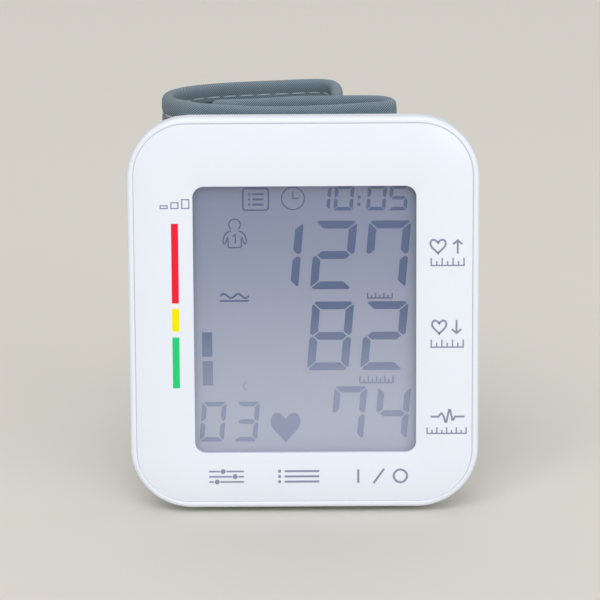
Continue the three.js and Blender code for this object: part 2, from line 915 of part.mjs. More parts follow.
function pumpMotor() {
  const can = postZ(pump.motorDiameter, pump.x, pump.y, pump.bottom, motorTop);
  const half = (pump.motorDiameter / 2) * pump.flatShare;
  const flats = block(
    pump.x - pump.motorDiameter, pump.x + pump.motorDiameter, pump.y - half, pump.y + half,
    pump.bottom - overrun, motorTop + overrun,
  );
  const shaft = postZ(
    pump.shaftDiameter, pump.x, pump.y, motorTop - finish, motorTop + pump.shaftLength,
    facets.smallRound,
  );
  return joined(can.intersect(flats), shaft);
}

function pumpCrank() {
  const bottom = motorTop + pump.shaftLength + seatGap;
  const disc = postZ(pump.crankDiameter, pump.x, pump.y, bottom, bottom + pump.crankThickness);
  const pin = postZ(
    pump.crankPin, pump.x + pump.crankOffset, pump.y, bottom + pump.crankThickness - finish,
    bottom + pump.crankThickness + pump.crankPinLength, facets.smallRound,
  );
  return joined(disc, pin);
}

function pumpHead() {
  const top = headBottom + pump.headLength;
  const body = postZ(pump.headDiameter, pump.x, pump.y, headBottom, top);
  const bore = postZ(
    pump.headBore, pump.x, pump.y, headBottom - overrun, headBottom + pump.headBoreDepth,
  );
  const port = postZ(
    pump.portDiameter, pump.x, pump.y, top - finish, top + pump.portLength, facets.smallRound,
  );
  return joined(cutBy(body, bore), port);
}

function exhaustValve() {
  const top = valve.bottom + valve.length;
  const body = postZ(valve.diameter, valve.x, valve.y, valve.bottom, top);
  const port = postZ(
    valve.portDiameter, valve.x, valve.y, top - finish, top + valve.portLength, facets.smallRound,
  );
  return joined(body, port);
}

// Air block: one port down to the valve, two up to pump and sensor, one back to the cuff

function airManifold() {
  const halfX = airBlock.width / 2;
  const halfY = airBlock.depth / 2;
  const top = airBlock.bottom + airBlock.height;
  const { portDiameter, portLength, x, y } = airBlock;
  const body = block(x - halfX, x + halfX, y - halfY, y + halfY, airBlock.bottom, top);
  const upPort = (shift) => postZ(
    portDiameter, x + shift, y, top - finish, top + portLength, facets.smallRound,
  );
  return joined(
    body, upPort(-airBlock.portSpread), upPort(airBlock.portSpread),
    postZ(
      portDiameter, x, y, airBlock.bottom - portLength, airBlock.bottom + finish,
      facets.smallRound,
    ),
    postY(
      portDiameter, x, y + halfY - finish, y + halfY + airBlock.backPort, airPortZ,
      facets.smallRound,
    ),
  );
}

// Hoses butt against the ports with a small gap

function hoseBetween(places) {
  const points = places.map(([x, y, z]) => new THREE.Vector3(x, y, z));
  return tubeAlong(new THREE.CatmullRomCurve3(points), hose.outer, hose.sides, hose.steps);
}

const airTop = airBlock.bottom + airBlock.height + airBlock.portLength + hose.gap;

function pumpHose() {
  const start = headBottom + pump.headLength + pump.portLength + hose.gap;
  const end = airBlock.x - airBlock.portSpread;
  const crest = airTop + 2 * hose.outer;
  const span = end - pump.x;
  return hoseBetween([
    [pump.x, pump.y, start],
    [pump.x, pump.y, start + hose.outer],
    [pump.x + span / 4, (pump.y + airBlock.y) / 2, crest - hose.outer / 2],
    [pump.x + span / 2, (pump.y + airBlock.y) / 2, crest],
    [end - span / 8, airBlock.y, crest - hose.outer / 2],
    [end, airBlock.y, airTop + hose.outer],
    [end, airBlock.y, airTop],
  ]);
}

function valveHose() {
  const start = valve.bottom + valve.length + valve.portLength + hose.gap;
  const end = airBlock.bottom - airBlock.portLength - hose.gap;
  return postZ(hose.outer, airBlock.x, airBlock.y, start, end, facets.smallRound);
}

function sensorHose() {
  const start = airBlock.x + airBlock.portSpread;
  const sensorY = boardBack + seatGap + sensor.height / 2;
  const end = sensorAt.z + sensor.side / 2 + sensor.portLength + hose.gap;
  const crest = airTop + 2 * hose.outer;
  const span = sensorAt.x - start;
  return hoseBetween([
    [start, airBlock.y, airTop],
    [start, airBlock.y, airTop + hose.outer],
    [start + span / 4, (2 * airBlock.y + sensorY) / 3, crest - hose.outer / 2],
    [start + span / 2, (airBlock.y + sensorY) / 2, crest],
    [sensorAt.x - span / 8, (airBlock.y + 2 * sensorY) / 3, crest - hose.outer / 2],
    [sensorAt.x, sensorY, end + hose.outer],
    [sensorAt.x, sensorY, end],
  ]);
}

const nippleFront = saddleDepthAt(airBlock.x, rearFace);

function cuffHose() {
  const start = airBlock.y + airBlock.depth / 2 + airBlock.backPort + hose.gap;
  return postY(hose.outer, airBlock.x, start, nippleFront - hose.gap, airPortZ, facets.smallRound);
}

// Cuff routes in plan

function onLoop([shareX, shareY]) {
  const front = saddle.depth + fit + cuff.thickness / 2;
  return new THREE.Vector2(loop.left + shareX * loop.width, front + shareY * loop.depth);
}

function nearArc() {
  return arcShares.map((share) => {
    const x = loop.arcFrom + share * (loop.arcTo - loop.arcFrom);
    return new THREE.Vector2(x, saddleDepthAt(x, -fit - cuff.thickness / 2));
  });
}

const routes = {
  base: new THREE.SplineCurve([
    ...leftBendShares.map(onLoop), ...nearArc(), ...rightBendShares.map(onLoop),
  ]),
  wrap: new THREE.SplineCurve(wrapShares.map(onLoop)),
  tail: new THREE.SplineCurve(tailShares.map(onLoop)),
  hook: new THREE.SplineCurve(hookShares.map(onLoop)),
};

// The outer side of the loop lies right of the base, tail and hook routes and left of the wrap's

const outerSide = { base: 1, wrap: -1, tail: 1, hook: 1 };

// A layer of the band between two offsets from the centre line, outwards, over a share of it

function bandLayer(name, inner, outer, z0, z1, lengthShare = 1) {
  const steps = Math.round(routeSteps[name] * lengthShare);
  const inside = [];
  const outside = [];
  for (let step = 0; step <= steps; step += 1) {
    const share = (step / steps) * lengthShare;
    const point = routes[name].getPointAt(share);
    const tangent = routes[name].getTangentAt(share);
    const normal = new THREE.Vector2(tangent.y, -tangent.x).multiplyScalar(outerSide[name]);
    inside.push(point.clone().addScaledVector(normal, inner).toArray());
    outside.push(point.clone().addScaledVector(normal, outer).toArray());
  }
  return raised([...inside, ...outside.reverse()], z0, z1);
}

// Cloth cover: the outer sheet with its hems folded over both edges

function bandCloth(name) {
  const half = cuff.thickness / 2;
  const sheet = bandLayer(name, half - cuff.cloth, half, 0, cuff.height);
  const lowHem = bandLayer(name, -half, half, 0, cuff.hem);
  const highHem = bandLayer(name, -half, half, cuff.height - cuff.hem, cuff.height);
  return joined(sheet, lowHem, highHem);
}

function innerLayer(name, inner, thickness) {
  const low = cuff.hem + cuff.hemGap;
  return bandLayer(name, inner, inner + thickness, low, cuff.height - low);
}

const bladderInner = -cuff.thickness / 2 + cuff.lining + cuff.layerGap;
const formerInner = bladderInner + cuff.bladder + cuff.layerGap;

function bandLining(name) {
  return innerLayer(name, -cuff.thickness / 2, cuff.lining);
}

function bandBladder(name) {
  return innerLayer(name, bladderInner, cuff.bladder);
}

function bandFormer(name) {
  return innerLayer(name, formerInner, cuff.former);
}

// The air nipple of the former reaches through the cloth and the cuff plate

function nipple(grow, y0, y1) {
  const diameter = cuff.nippleDiameter + 2 * grow;
  return postY(diameter, airBlock.x, y0, y1, airPortZ, facets.smallRound);
}

function baseFormer() {
  const seat = saddleDepthAt(airBlock.x, -fit - cuff.cloth);
  return joined(bandFormer('base'), nipple(0, nippleFront, seat + cuff.layerGap + finish));
}

function baseCloth() {
  return cutBy(bandCloth('base'), nipple(fit, nippleFront, saddle.depth + cuff.thickness));
}

// Hook patch on the wrap's end and loop patch on the tail's back

function hookPatch() {
  const low = (cuff.height - cuff.hookHeight) / 2;
  const half = cuff.hookThickness / 2;
  return bandLayer('hook', -half, half, low, cuff.height - low);
}

function loopPatch() {
  const low = (cuff.height - cuff.loopHeight) / 2;
  const seat = cuff.thickness / 2 + cuff.layerGap;
  return bandLayer(
    'tail', seat, seat + cuff.loopThickness, low, cuff.height - low, cuff.loopLengthShare,
  );
}

// Materials

function material(color, roughness, metalness = 0) {
  return new THREE.MeshStandardMaterial({ color, roughness, metalness });
}

const finishes = {
  whiteShell: material('#e9edf3', 0.45),
  printedPanel: material('#e9edf3', 0.35),
  clearLens: new THREE.MeshStandardMaterial({
    color: '#8f96a8', roughness: 0.08, transparent: true, opacity: 0.35,
  }),
  displayGlass: material('#989fb2', 0.3),
  greyPlastic: material('#d8dadd', 0.55),
  rubber: material('#5c6066', 0.8),
  boardGreen: material('#2e6b46', 0.5),
  chipBlack: material('#202225', 0.45),
  steel: material('#b9bcc0', 0.3, 1),
  darkPlastic: material('#3a3d42', 0.5),
  cellWrap: material('#5d6a72', 0.35, 0.4),
  silicone: material('#c9ccc9', 0.6),
  cloth: material('#54676f', 0.95),
  patch: material('#454f58', 1),
  former: material('#dfe1e2', 0.5),
  bladderRubber: material('#8b8f92', 0.7),
};

// Assembly

const device = new THREE.Group();

function addPiece(name, solid, finishName) {
  const mesh = new THREE.Mesh(geometryOf(solid), finishes[finishName]);
  mesh.name = name;
  device.add(mesh);
}

function addCase() {
  addPiece('front_cover', frontCover(), 'whiteShell');
  addPiece('front_panel', frontPanel(), 'printedPanel');
  addPiece('display_lens', displayLens(), 'clearLens');
  addPiece('display_cell', displayCell(), 'displayGlass');
  addPiece('display_frame', displayFrame(), 'greyPlastic');
  addPiece('elastomer_strip', elastomerStrip(), 'rubber');
  addPiece('rear_cover', rearCover(), 'whiteShell');
  addPiece('cuff_plate', cuffPlateSolid(), 'whiteShell');
  addPiece('battery_door', batteryDoor(), 'whiteShell');
  screwPlaces().forEach((place, index) => {
    addPiece(`case_screw_${index + 1}`, caseScrew(place), 'steel');
  });
}

function addBoard() {
  addPiece('main_board', mainBoard(), 'boardGreen');
  addPiece('control_chip', controlChip(), 'chipBlack');
  addPiece('buzzer', buzzerCan(), 'chipBlack');
  addPiece('pressure_sensor', pressureSensor(), 'greyPlastic');
  keys.places.forEach((_, index) => {
    addPiece(keys.names[index], pushKey(index), 'greyPlastic');
    addPiece(keys.switchNames[index], keySwitch(index), 'chipBlack');
  });
}

function addPower() {
  const half = contact.width / 2;
  const roomTop = bayTop - contact.thickness - seatGap;
  const roomBottom = bay.bottom + contact.thickness + seatGap;
  addPiece('front_cell', batteryCell(bay.frontY, true), 'cellWrap');
  addPiece('back_cell', batteryCell(bay.backY, false), 'cellWrap');
  addPiece('bridge_contact', contactPlate(bay.frontY - half, bay.backY + half, true), 'steel');
  addPiece('negative_contact', contactPlate(bay.frontY - half, bay.frontY + half, false), 'steel');
  addPiece('positive_contact', contactPlate(bay.backY - half, bay.backY + half, false), 'steel');
  const nearCell = bay.bottom + bay.height - cell.length - contact.thickness - 2 * seatGap;
  addPiece('front_coil', contactCoil(bay.frontY, roomBottom, nearCell), 'steel');
  const farCell = bayTop - (bay.height - cell.length - contact.thickness - 2 * seatGap);
  addPiece('back_coil', contactCoil(bay.backY, farCell, roomTop), 'steel');
}

function addAir() {
  addPiece('pump_motor', pumpMotor(), 'steel');
  addPiece('pump_crank', pumpCrank(), 'darkPlastic');
  addPiece('pump_head', pumpHead(), 'darkPlastic');
  addPiece('exhaust_valve', exhaustValve(), 'steel');
  addPiece('air_manifold', airManifold(), 'darkPlastic');
  addPiece('pump_hose', pumpHose(), 'silicone');
  addPiece('valve_hose', valveHose(), 'silicone');
  addPiece('sensor_hose', sensorHose(), 'silicone');
  addPiece('cuff_hose', cuffHose(), 'silicone');
}

function addCuff() {
  addPiece('cuff_base_cloth', baseCloth(), 'cloth');
  addPiece('cuff_base_former', baseFormer(), 'former');
  addPiece('cuff_base_bladder', bandBladder('base'), 'bladderRubber');
  addPiece('cuff_base_lining', bandLining('base'), 'cloth');
  addPiece('cuff_wrap_cloth', bandCloth('wrap'), 'cloth');
  addPiece('cuff_wrap_former', bandFormer('wrap'), 'former');
  addPiece('cuff_wrap_bladder', bandBladder('wrap'), 'bladderRubber');
  addPiece('cuff_wrap_lining', bandLining('wrap'), 'cloth');
  addPiece('hook_patch', hookPatch(), 'patch');
  addPiece('cuff_tail_cloth', bandCloth('tail'), 'cloth');
  addPiece('cuff_tail_pad', bandFormer('tail'), 'former');
  addPiece('cuff_tail_lining', bandLining('tail'), 'cloth');
  addPiece('loop_patch', loopPatch(), 'patch');
}

addCase();
addBoard();
addPower();
addAir();
addCuff();

// The origin lies under the middle of the whole model, on the surface that it stands on

const bounds = new THREE.Box3().setFromObject(device);
const centre = bounds.getCenter(new THREE.Vector3());
device.position.set(-centre.x, -centre.y, -bounds.min.z);

const monitor = new THREE.Group();
monitor.name = 'wrist_monitor';
monitor.add(device);

export default monitor;
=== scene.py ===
"""Wrist blood pressure monitor: dressed model and studio, in metres, +Z up, front towards -Y."""

from __future__ import annotations

import json
import logging
import math
from dataclasses import dataclass, field
from enum import Enum
from typing import Callable, Iterable, Sequence

import bmesh
import bpy
from mathutils import Matrix, Vector

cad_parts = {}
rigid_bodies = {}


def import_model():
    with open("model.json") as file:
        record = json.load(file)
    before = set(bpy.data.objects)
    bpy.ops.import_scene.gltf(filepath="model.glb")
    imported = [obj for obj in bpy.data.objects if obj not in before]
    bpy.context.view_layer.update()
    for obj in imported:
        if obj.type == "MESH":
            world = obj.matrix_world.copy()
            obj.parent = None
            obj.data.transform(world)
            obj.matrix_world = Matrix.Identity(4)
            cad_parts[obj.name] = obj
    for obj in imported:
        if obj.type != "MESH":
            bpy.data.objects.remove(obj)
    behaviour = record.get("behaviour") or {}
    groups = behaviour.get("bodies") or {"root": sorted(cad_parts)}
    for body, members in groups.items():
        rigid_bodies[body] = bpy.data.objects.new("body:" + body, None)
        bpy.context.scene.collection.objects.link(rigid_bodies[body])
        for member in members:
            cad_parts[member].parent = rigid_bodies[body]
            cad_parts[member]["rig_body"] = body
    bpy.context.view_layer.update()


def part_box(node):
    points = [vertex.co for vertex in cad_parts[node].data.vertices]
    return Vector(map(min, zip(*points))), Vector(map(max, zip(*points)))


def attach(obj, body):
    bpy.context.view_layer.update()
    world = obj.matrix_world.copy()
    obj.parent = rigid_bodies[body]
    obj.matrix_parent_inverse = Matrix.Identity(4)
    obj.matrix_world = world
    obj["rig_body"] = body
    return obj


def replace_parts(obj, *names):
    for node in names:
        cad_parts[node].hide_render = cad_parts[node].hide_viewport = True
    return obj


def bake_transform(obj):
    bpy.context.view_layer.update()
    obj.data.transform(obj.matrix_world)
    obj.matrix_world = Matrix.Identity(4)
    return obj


log = logging.getLogger("monitor")

MM = 0.001
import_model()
# Depths are measured from the front plane of the case
SHIFT_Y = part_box("front_cover")[0].y / MM


def linear(hex_code: str) -> tuple[float, float, float, float]:
    """Turns an sRGB hex colour into Blender's linear RGBA.

    Args:
        hex_code: six hex digits, with or without a leading hash.

    Returns:
        Linear red, green, blue and an alpha of 1.
    """
    digits = hex_code.lstrip("#")
    channels = (int(digits[i : i + 2], 16) / 255 for i in (0, 2, 4))
    red, green, blue = (
        c / 12.92 if c <= 0.04045 else ((c + 0.055) / 1.055) ** 2.4 for c in channels
    )
    return red, green, blue, 1.0


def place(x: float, depth: float, z: float) -> Vector:
    """A point given in millimetres from the front plane, as a point of the row frame in metres."""
    return Vector((x * MM, (depth + SHIFT_Y) * MM, z * MM))


def node(
    tree: bpy.types.NodeTree,
    kind: str,
    settings: dict[str, object] | None = None,
    **links: object,
) -> bpy.types.Node:
    """Adds a shader node, sets its properties and fills or links its inputs.

    Args:
        tree: the material's node tree.
        kind: the node's type name.
        settings: properties of the node.
        links: input names, with spaces as underscores or in{index}, to a socket or a value.

    Returns:
        The new node.
    """
    made = tree.nodes.new(kind)
    for name, value in (settings or {}).items():
        setattr(made, name, value)
    for name, value in links.items():
        numbered = name[:2] == "in" and name[2:].isdigit()
        key: int | str = int(name[2:]) if numbered else name.replace("_", " ")
        socket = made.inputs[key]
        if isinstance(value, bpy.types.NodeSocket):
            tree.links.new(value, socket)
        else:
            socket.default_value = value
    return made


class Pattern(Enum):
    """How a finish breaks up its surface."""

    MOULDED = "moulded"
    FILM = "film"
    TWILL = "twill"
    BRUSHED = "brushed"
    PLAIN = "plain"


@dataclass(frozen=True)
class Finish:
    """One real material: sRGB hex colours, shader numbers and its pattern in millimetres."""

    name: str
    base: str
    roughness: float
    pattern: Pattern = Pattern.MOULDED
    grain_mm: float = 0.4
    relief: float = 0.03
    second: str | None = None
    variation: float = 0.25
    metallic: float = 0.0
    ior: float = 1.5
    sheen: float = 0.0
    coat: float = 0.0
    subsurface: float = 0.0
    alpha: float = 1.0

    def material(self) -> bpy.types.Material:
        """Builds or reuses the node material of this finish.

        Returns:
            The material.
        """
        known = bpy.data.materials.get(self.name)
        if known is not None:
            return known
        made = bpy.data.materials.new(self.name)
        made.use_nodes = True
        tree = made.node_tree
        shader = next(n for n in tree.nodes if n.type == "BSDF_PRINCIPLED")
        shader.inputs["Roughness"].default_value = self.roughness
        shader.inputs["Metallic"].default_value = self.metallic
        shader.inputs["Alpha"].default_value = self.alpha
        if self.metallic < 0.5:
            shader.inputs["IOR"].default_value = self.ior
        shader.inputs["Sheen Weight"].default_value = self.sheen
        shader.inputs["Sheen Roughness"].default_value = 0.45
        shader.inputs["Coat Weight"].default_value = self.coat
        shader.inputs["Subsurface Weight"].default_value = self.subsurface
        shader.inputs["Subsurface Scale"].default_value = 0.8 * MM
        self.dress(tree, shader)
        return made

    def dress(self, tree: bpy.types.NodeTree, shader: bpy.types.Node) -> None:
        """Links the colour variation and the fine relief of the pattern.

        Args:
            tree: the material's node tree.
            shader: its Principled BSDF.
        """
        where = node(tree, "ShaderNodeTexCoord").outputs["Object"]
        broad = node(tree, "ShaderNodeTexNoise", Vector=where, Scale=1 / (14 * MM), Detail=2.0)
        tint = linear(self.second or self.base)
        mixed = node(
            tree, "ShaderNodeMix", {"data_type": "RGBA"}, in6=linear(self.base), in7=tint,
        )
        amount = node(
            tree, "ShaderNodeMath", {"operation": "MULTIPLY"},
            in0=broad.outputs["Fac"], in1=self.variation if self.second else 0.0,
        )
        tree.links.new(amount.outputs[0], mixed.inputs[0])
        tree.links.new(mixed.outputs[2], shader.inputs["Base Color"])
        height = self.height(tree, where)
        if height is None:
            return
        bump = node(
            tree, "ShaderNodeBump", Strength=1.0, Distance=self.relief * MM, Height=height,
        )
        tree.links.new(bump.outputs["Normal"], shader.inputs["Normal"])

    def height(
        self, tree: bpy.types.NodeTree, where: bpy.types.NodeSocket
    ) -> bpy.types.NodeSocket | None:
        """Makes the relief of the pattern.

        Args:
            tree: the material's node tree.
            where: the Object coordinate.

        Returns:
            The height socket, or None for a plain surface.
        """
        if self.pattern is Pattern.PLAIN:
            return None
        if self.pattern is Pattern.BRUSHED:
            along = node(tree, "ShaderNodeMapping", Vector=where, Scale=(1.0, 1.0, 0.04))
            return node(
                tree, "ShaderNodeTexNoise", Vector=along.outputs[0],
                Scale=1 / (self.grain_mm * MM), Detail=3.0,
            ).outputs["Fac"]
        return node(
            tree, "ShaderNodeTexNoise", Vector=where, Scale=1 / (self.grain_mm * MM), Detail=3.0,
        ).outputs["Fac"]


@dataclass(frozen=True)
class WovenCloth(Finish):
    """Nylon twill: fine diagonal ridges that follow the band, lighter on the ridges, with painted
    light making its inner face paler than its outer face.
    """

    ridge_mm: float = 0.52
    slope: float = -1.0
    # Painted light: how much paler the inner face of the cloth is made than its outer face
    painted_inner_light: float = 0.15

    def dress(self, tree: bpy.types.NodeTree, shader: bpy.types.Node) -> None:
        """Links the twill's ridges, thread colours, soft creases and the painted light that makes
        the inner face paler.

        Args:
            tree: the material's node tree.
            shader: its Principled BSDF.
        """
        band = node(tree, "ShaderNodeUVMap", {"uv_map": "band"}).outputs["UV"]
        split = node(tree, "ShaderNodeSeparateXYZ", Vector=band)
        slanted = node(
            tree, "ShaderNodeMath", {"operation": "MULTIPLY_ADD"},
            in0=split.outputs["Y"], in1=self.slope, in2=split.outputs["X"],
        )
        phase = node(
            tree, "ShaderNodeMath", {"operation": "MULTIPLY"},
            in0=slanted.outputs[0], in1=2 * math.pi / self.ridge_mm,
        )
        ridge = node(tree, "ShaderNodeMath", {"operation": "SINE"}, in0=phase.outputs[0])
        across = node(
            tree, "ShaderNodeMath", {"operation": "MULTIPLY_ADD"},
            in0=split.outputs["Y"], in1=-self.slope * 2.0, in2=split.outputs["X"],
        )
        yarn_phase = node(
            tree, "ShaderNodeMath", {"operation": "MULTIPLY"},
            in0=across.outputs[0], in1=2 * math.pi / (self.ridge_mm * 0.7),
        )
        yarn = node(tree, "ShaderNodeMath", {"operation": "SINE"}, in0=yarn_phase.outputs[0])
        weave = node(
            tree, "ShaderNodeMath", {"operation": "MULTIPLY_ADD"},
            in0=yarn.outputs[0], in1=0.35, in2=ridge.outputs[0],
        )
        where = node(tree, "ShaderNodeTexCoord").outputs["Object"]
        broad = node(tree, "ShaderNodeTexNoise", Vector=where, Scale=1 / (9 * MM), Detail=4.0)
        light = node(
            tree, "ShaderNodeMapRange", Value=weave.outputs[0],
            From_Min=-0.4, From_Max=0.5, To_Min=0.0, To_Max=0.66,
        )
        # Painted light: from 82 mm round the profile, past the outer face, the cloth is made paler,
        # so its inner face looks more lit than its outer face
        inner = node(
            tree, "ShaderNodeMapRange", Value=split.outputs["Y"],
            From_Min=82.0, From_Max=84.0, To_Min=0.0, To_Max=self.painted_inner_light,
        )
        paler = node(tree, "ShaderNodeMath", in0=light.outputs[0], in1=inner.outputs[0])
        shade = node(
            tree, "ShaderNodeMath", {"operation": "MULTIPLY_ADD"},
            in0=broad.outputs["Fac"], in1=self.variation, in2=paler.outputs[0],
        )
        colour = node(
            tree, "ShaderNodeMix", {"data_type": "RGBA"}, in0=shade.outputs[0],
            in6=linear(self.base), in7=linear(self.second or self.base),
        )
        tree.links.new(colour.outputs[2], shader.inputs["Base Color"])
        fine = node(
            tree, "ShaderNodeBump",
            Strength=0.8, Distance=self.relief * MM, Height=weave.outputs[0],
        )
        crease = node(
            tree, "ShaderNodeBump", Strength=0.6, Distance=0.5 * MM,
            Height=broad.outputs["Fac"], Normal=fine.outputs["Normal"],
        )
        tree.links.new(crease.outputs["Normal"], shader.inputs["Normal"])


@dataclass(frozen=True)
class DisplayLayer(Finish):
    """Liquid crystal glass with a painted reflection: darker at its top, paler towards its lower
    edge.
    """

    top_z: float = 72.0
    bottom_z: float = 10.0
    # Colour at the lower edge, paler: a painted reflection
    lower: str = "B4B6C5"

    def dress(self, tree: bpy.types.NodeTree, shader: bpy.types.Node) -> None:
        """Links the painted reflection that pales the display from top to bottom, and a faint
        cloudiness.

        Args:
            tree: the material's node tree.
            shader: its Principled BSDF.
        """
        where = node(tree, "ShaderNodeTexCoord").outputs["Object"]
        split = node(tree, "ShaderNodeSeparateXYZ", Vector=where)
        # Painted reflection: the colour pales from top_z down to bottom_z
        height = node(
            tree, "ShaderNodeMapRange", {"interpolation_type": "SMOOTHSTEP"},
            Value=split.outputs["Z"],
            From_Min=self.top_z * MM, From_Max=self.bottom_z * MM, To_Min=0.0, To_Max=1.0,
        )
        cloud = node(tree, "ShaderNodeTexNoise", Vector=where, Scale=1 / (22 * MM), Detail=1.0)
        painted_reflection_fade = node(
            tree, "ShaderNodeMath", {"operation": "MULTIPLY_ADD"},
            in0=cloud.outputs["Fac"], in1=0.06, in2=height.outputs[0],
        )
        colour = node(
            tree, "ShaderNodeMix", {"data_type": "RGBA"}, in0=painted_reflection_fade.outputs[0],
            in6=linear(self.base), in7=linear(self.lower),
        )
        tree.links.new(colour.outputs[2], shader.inputs["Base Color"])


# White ABS, moulded and lightly polished: a soft broad gloss over an almost unseen grain
WHITE_ABS = Finish(
    "white_abs", "E8EEF7", 0.38, Pattern.MOULDED, 0.5, 0.006, "E5EBF5", 0.3, subsurface=0.04
)
# Polycarbonate film printed white on its back: smoother than the rim, very even
PANEL_FILM = Finish("panel_film", "E8EDF7", 0.3, Pattern.FILM, 1.4, 0.003, "E5EAF5", 0.25)
# Screen ink on the film: flat, matt and without grain
GREY_INK = Finish("grey_ink", "8D93A8", 0.8, Pattern.PLAIN, ior=1.1)
RED_INK = Finish("red_ink", "F0283C", 0.8, Pattern.PLAIN, ior=1.1)
YELLOW_INK = Finish("yellow_ink", "F6EA03", 0.8, Pattern.PLAIN, ior=1.1)
GREEN_INK = Finish("green_ink", "2CCE7A", 0.8, Pattern.PLAIN, ior=1.1)
# Acrylic window: clear, with a polished edge that catches light
ACRYLIC = Finish("acrylic", "F2F4F8", 0.06, Pattern.PLAIN, ior=1.49, alpha=0.04)
# Liquid crystal cell over its reflector, and the lit segments that darken it, both with a painted
# reflection that pales them towards the bottom
CELL_GLASS = DisplayLayer("cell_glass", "717B98", 0.5, Pattern.PLAIN, lower="AAB0C3")
SEGMENTS = DisplayLayer(
    "segments", "254376", 0.5, Pattern.PLAIN, top_z=48.0, bottom_z=20.0, lower="828EAA"
)
# Moulded ABS of the inner parts, matt with a spark-eroded grain
GREY_ABS = Finish("grey_abs", "D8DADD", 0.6, Pattern.MOULDED, 0.3, 0.02, "CDD0D4", 0.5)
DARK_NYLON = Finish("dark_nylon", "34373C", 0.5, Pattern.MOULDED, 0.35, 0.02, "3F4248", 0.6)
ELASTOMER = Finish("elastomer", "5C6066", 0.8, Pattern.MOULDED, 0.25, 0.02, "53575D", 0.6)
# Solder mask over glass cloth: glossy green with the cloth's faint print-through
SOLDER_MASK = Finish("solder_mask", "2E6B46", 0.35, Pattern.MOULDED, 0.5, 0.01, "27603D", 0.7)
# Nickel-plated steel: bright, with fine drawing lines
PLATED_STEEL = Finish(
    "plated_steel", "C4C6C8", 0.28, Pattern.BRUSHED, 0.12, 0.006, "B2B5B8", 0.6, 1.0
)
# Shrink sleeve on a steel can
CELL_SLEEVE = Finish(
    "cell_sleeve", "5D6A72", 0.3, Pattern.FILM, 0.8, 0.006, "52606A", 0.5, coat=0.3
)
# Silicone hose: milky and soft
SILICONE = Finish(
    "silicone", "D3D5D2", 0.45, Pattern.MOULDED, 0.5, 0.006, "C6C9C6", 0.5, subsurface=0.2
)
# Thin polypropylene sheet and the coated film of the air bladder
FORMER_SHEET = Finish("former_sheet", "DFE1E2", 0.45, Pattern.FILM, 0.9, 0.006, "D5D8DA", 0.5)
BLADDER_FILM = Finish("bladder_film", "8B8F92", 0.5, Pattern.FILM, 0.7, 0.02, "7D8286", 0.6)
# Coated nylon twill, grey-blue, with a soft sheen at grazing angles
CUFF_TWILL = WovenCloth(
    "cuff_twill", "16282D", 0.85, Pattern.TWILL, 0.5, 0.08, "9FB5C5", 0.18, sheen=0.2
)
# Brushed nylon lining: the same colour, duller
LINING_TWILL = WovenCloth(
    "lining_twill", "36464F", 0.9, Pattern.TWILL, 0.5, 0.05, "70828B", 0.4, sheen=0.4
)
# Hook and loop tape: dull, with a coarse nap
TAPE_NAP = Finish("tape_nap", "3B4751", 0.95, Pattern.MOULDED, 0.45, 0.25, "56636E", 1.0, sheen=0.5)
# Polyester sewing thread, paler than the cloth
THREAD = Finish("thread", "B7C4CB", 0.7, Pattern.MOULDED, 0.2, 0.03, "8C9BA4", 0.6, sheen=0.2)
# Matt wall paint on the table
TABLE_PAINT = Finish("table_paint", "E2DED5", 0.75, Pattern.MOULDED, 1.2, 0.004, "DFDBD2", 0.3)


def finished(
    mesh: bmesh.types.BMesh,
    name: str,
    finish: Finish,
    body: str,
    smooth: float | None = 35.0,
) -> bpy.types.Object:
    """Turns a finished bmesh into a piece that rides on a body.

    Args:
        mesh: the shape, in its place in the row frame.
        name: the piece's name.
        finish: its finish.
        body: the body that it rides on.
        smooth: the angle in degrees past which an edge stays sharp, or None for flat faces.

    Returns:
        The new object.
    """
    if smooth is not None:
        limit = math.radians(smooth)
        for face in mesh.faces:
            face.smooth = True
        for edge in mesh.edges:
            edge.smooth = len(edge.link_faces) == 2 and edge.calc_face_angle(0.0) < limit
    data = bpy.data.meshes.new(name)
    mesh.to_mesh(data)
    mesh.free()
    made = bpy.data.objects.new(name, data)
    bpy.context.collection.objects.link(made)
    made.data.materials.append(finish.material())
    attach(made, body)
    return made


def outward(mesh: bmesh.types.BMesh) -> None:
    """Merges doubles and makes all faces point outwards."""
    bmesh.ops.remove_doubles(mesh, verts=mesh.verts, dist=0.002 * MM)
    bmesh.ops.recalc_face_normals(mesh, faces=mesh.faces)


def rounded_face(
    mesh: bmesh.types.BMesh,
    size: tuple[float, float],
    radius: float,
    centre: tuple[float, float],
    depth: float,
    segments: int,
) -> bmesh.types.BMFace:
    """Adds an upright face with round corners that looks towards -Y.

    Args:
        mesh: the bmesh to add to.
        size: width and height in millimetres.
        radius: corner radius in millimetres.
        centre: X and Z of the middle in millimetres.
        depth: depth behind the front plane in millimetres.
        segments: steps in each corner.

    Returns:
        The face.
    """
    half_x, half_z = size[0] / 2, size[1] / 2
    corners = [
        mesh.verts.new(place(centre[0] + sx * half_x, depth, centre[1] + sz * half_z))
        for sx, sz in ((-1, -1), (1, -1), (1, 1), (-1, 1))
    ]
    face = mesh.faces.new(corners)
    bmesh.ops.bevel(
        mesh, geom=corners, offset=radius * MM, segments=segments, profile=0.5,
        affect="VERTICES", clamp_overlap=False, material=-1,
    )
    mesh.faces.ensure_lookup_table()
    return max(mesh.faces, key=lambda f: len(f.verts)) if not face.is_valid else face


# Outlines shared by the covers, in millimetres
CASE_W, CASE_H, CASE_R = 75.0, 86.0, 13.3
MIDDLE_Z = CASE_H / 2
STRAIGHT, TAPER, CORNER_SHARE, SMALLEST_R = 3.6, 0.252, 0.4, 0.4
WINDOW = (47.6, 58.8, 2.4, 0.27, MIDDLE_Z - 1.35)
KEY_Z, KEY_H, KEY_R = 6.8, 4.2, 1.6
KEYS = {"set": (-16.8, 9.0), "memory": (-1.3, 9.0), "power": (16.0, 11.0)}


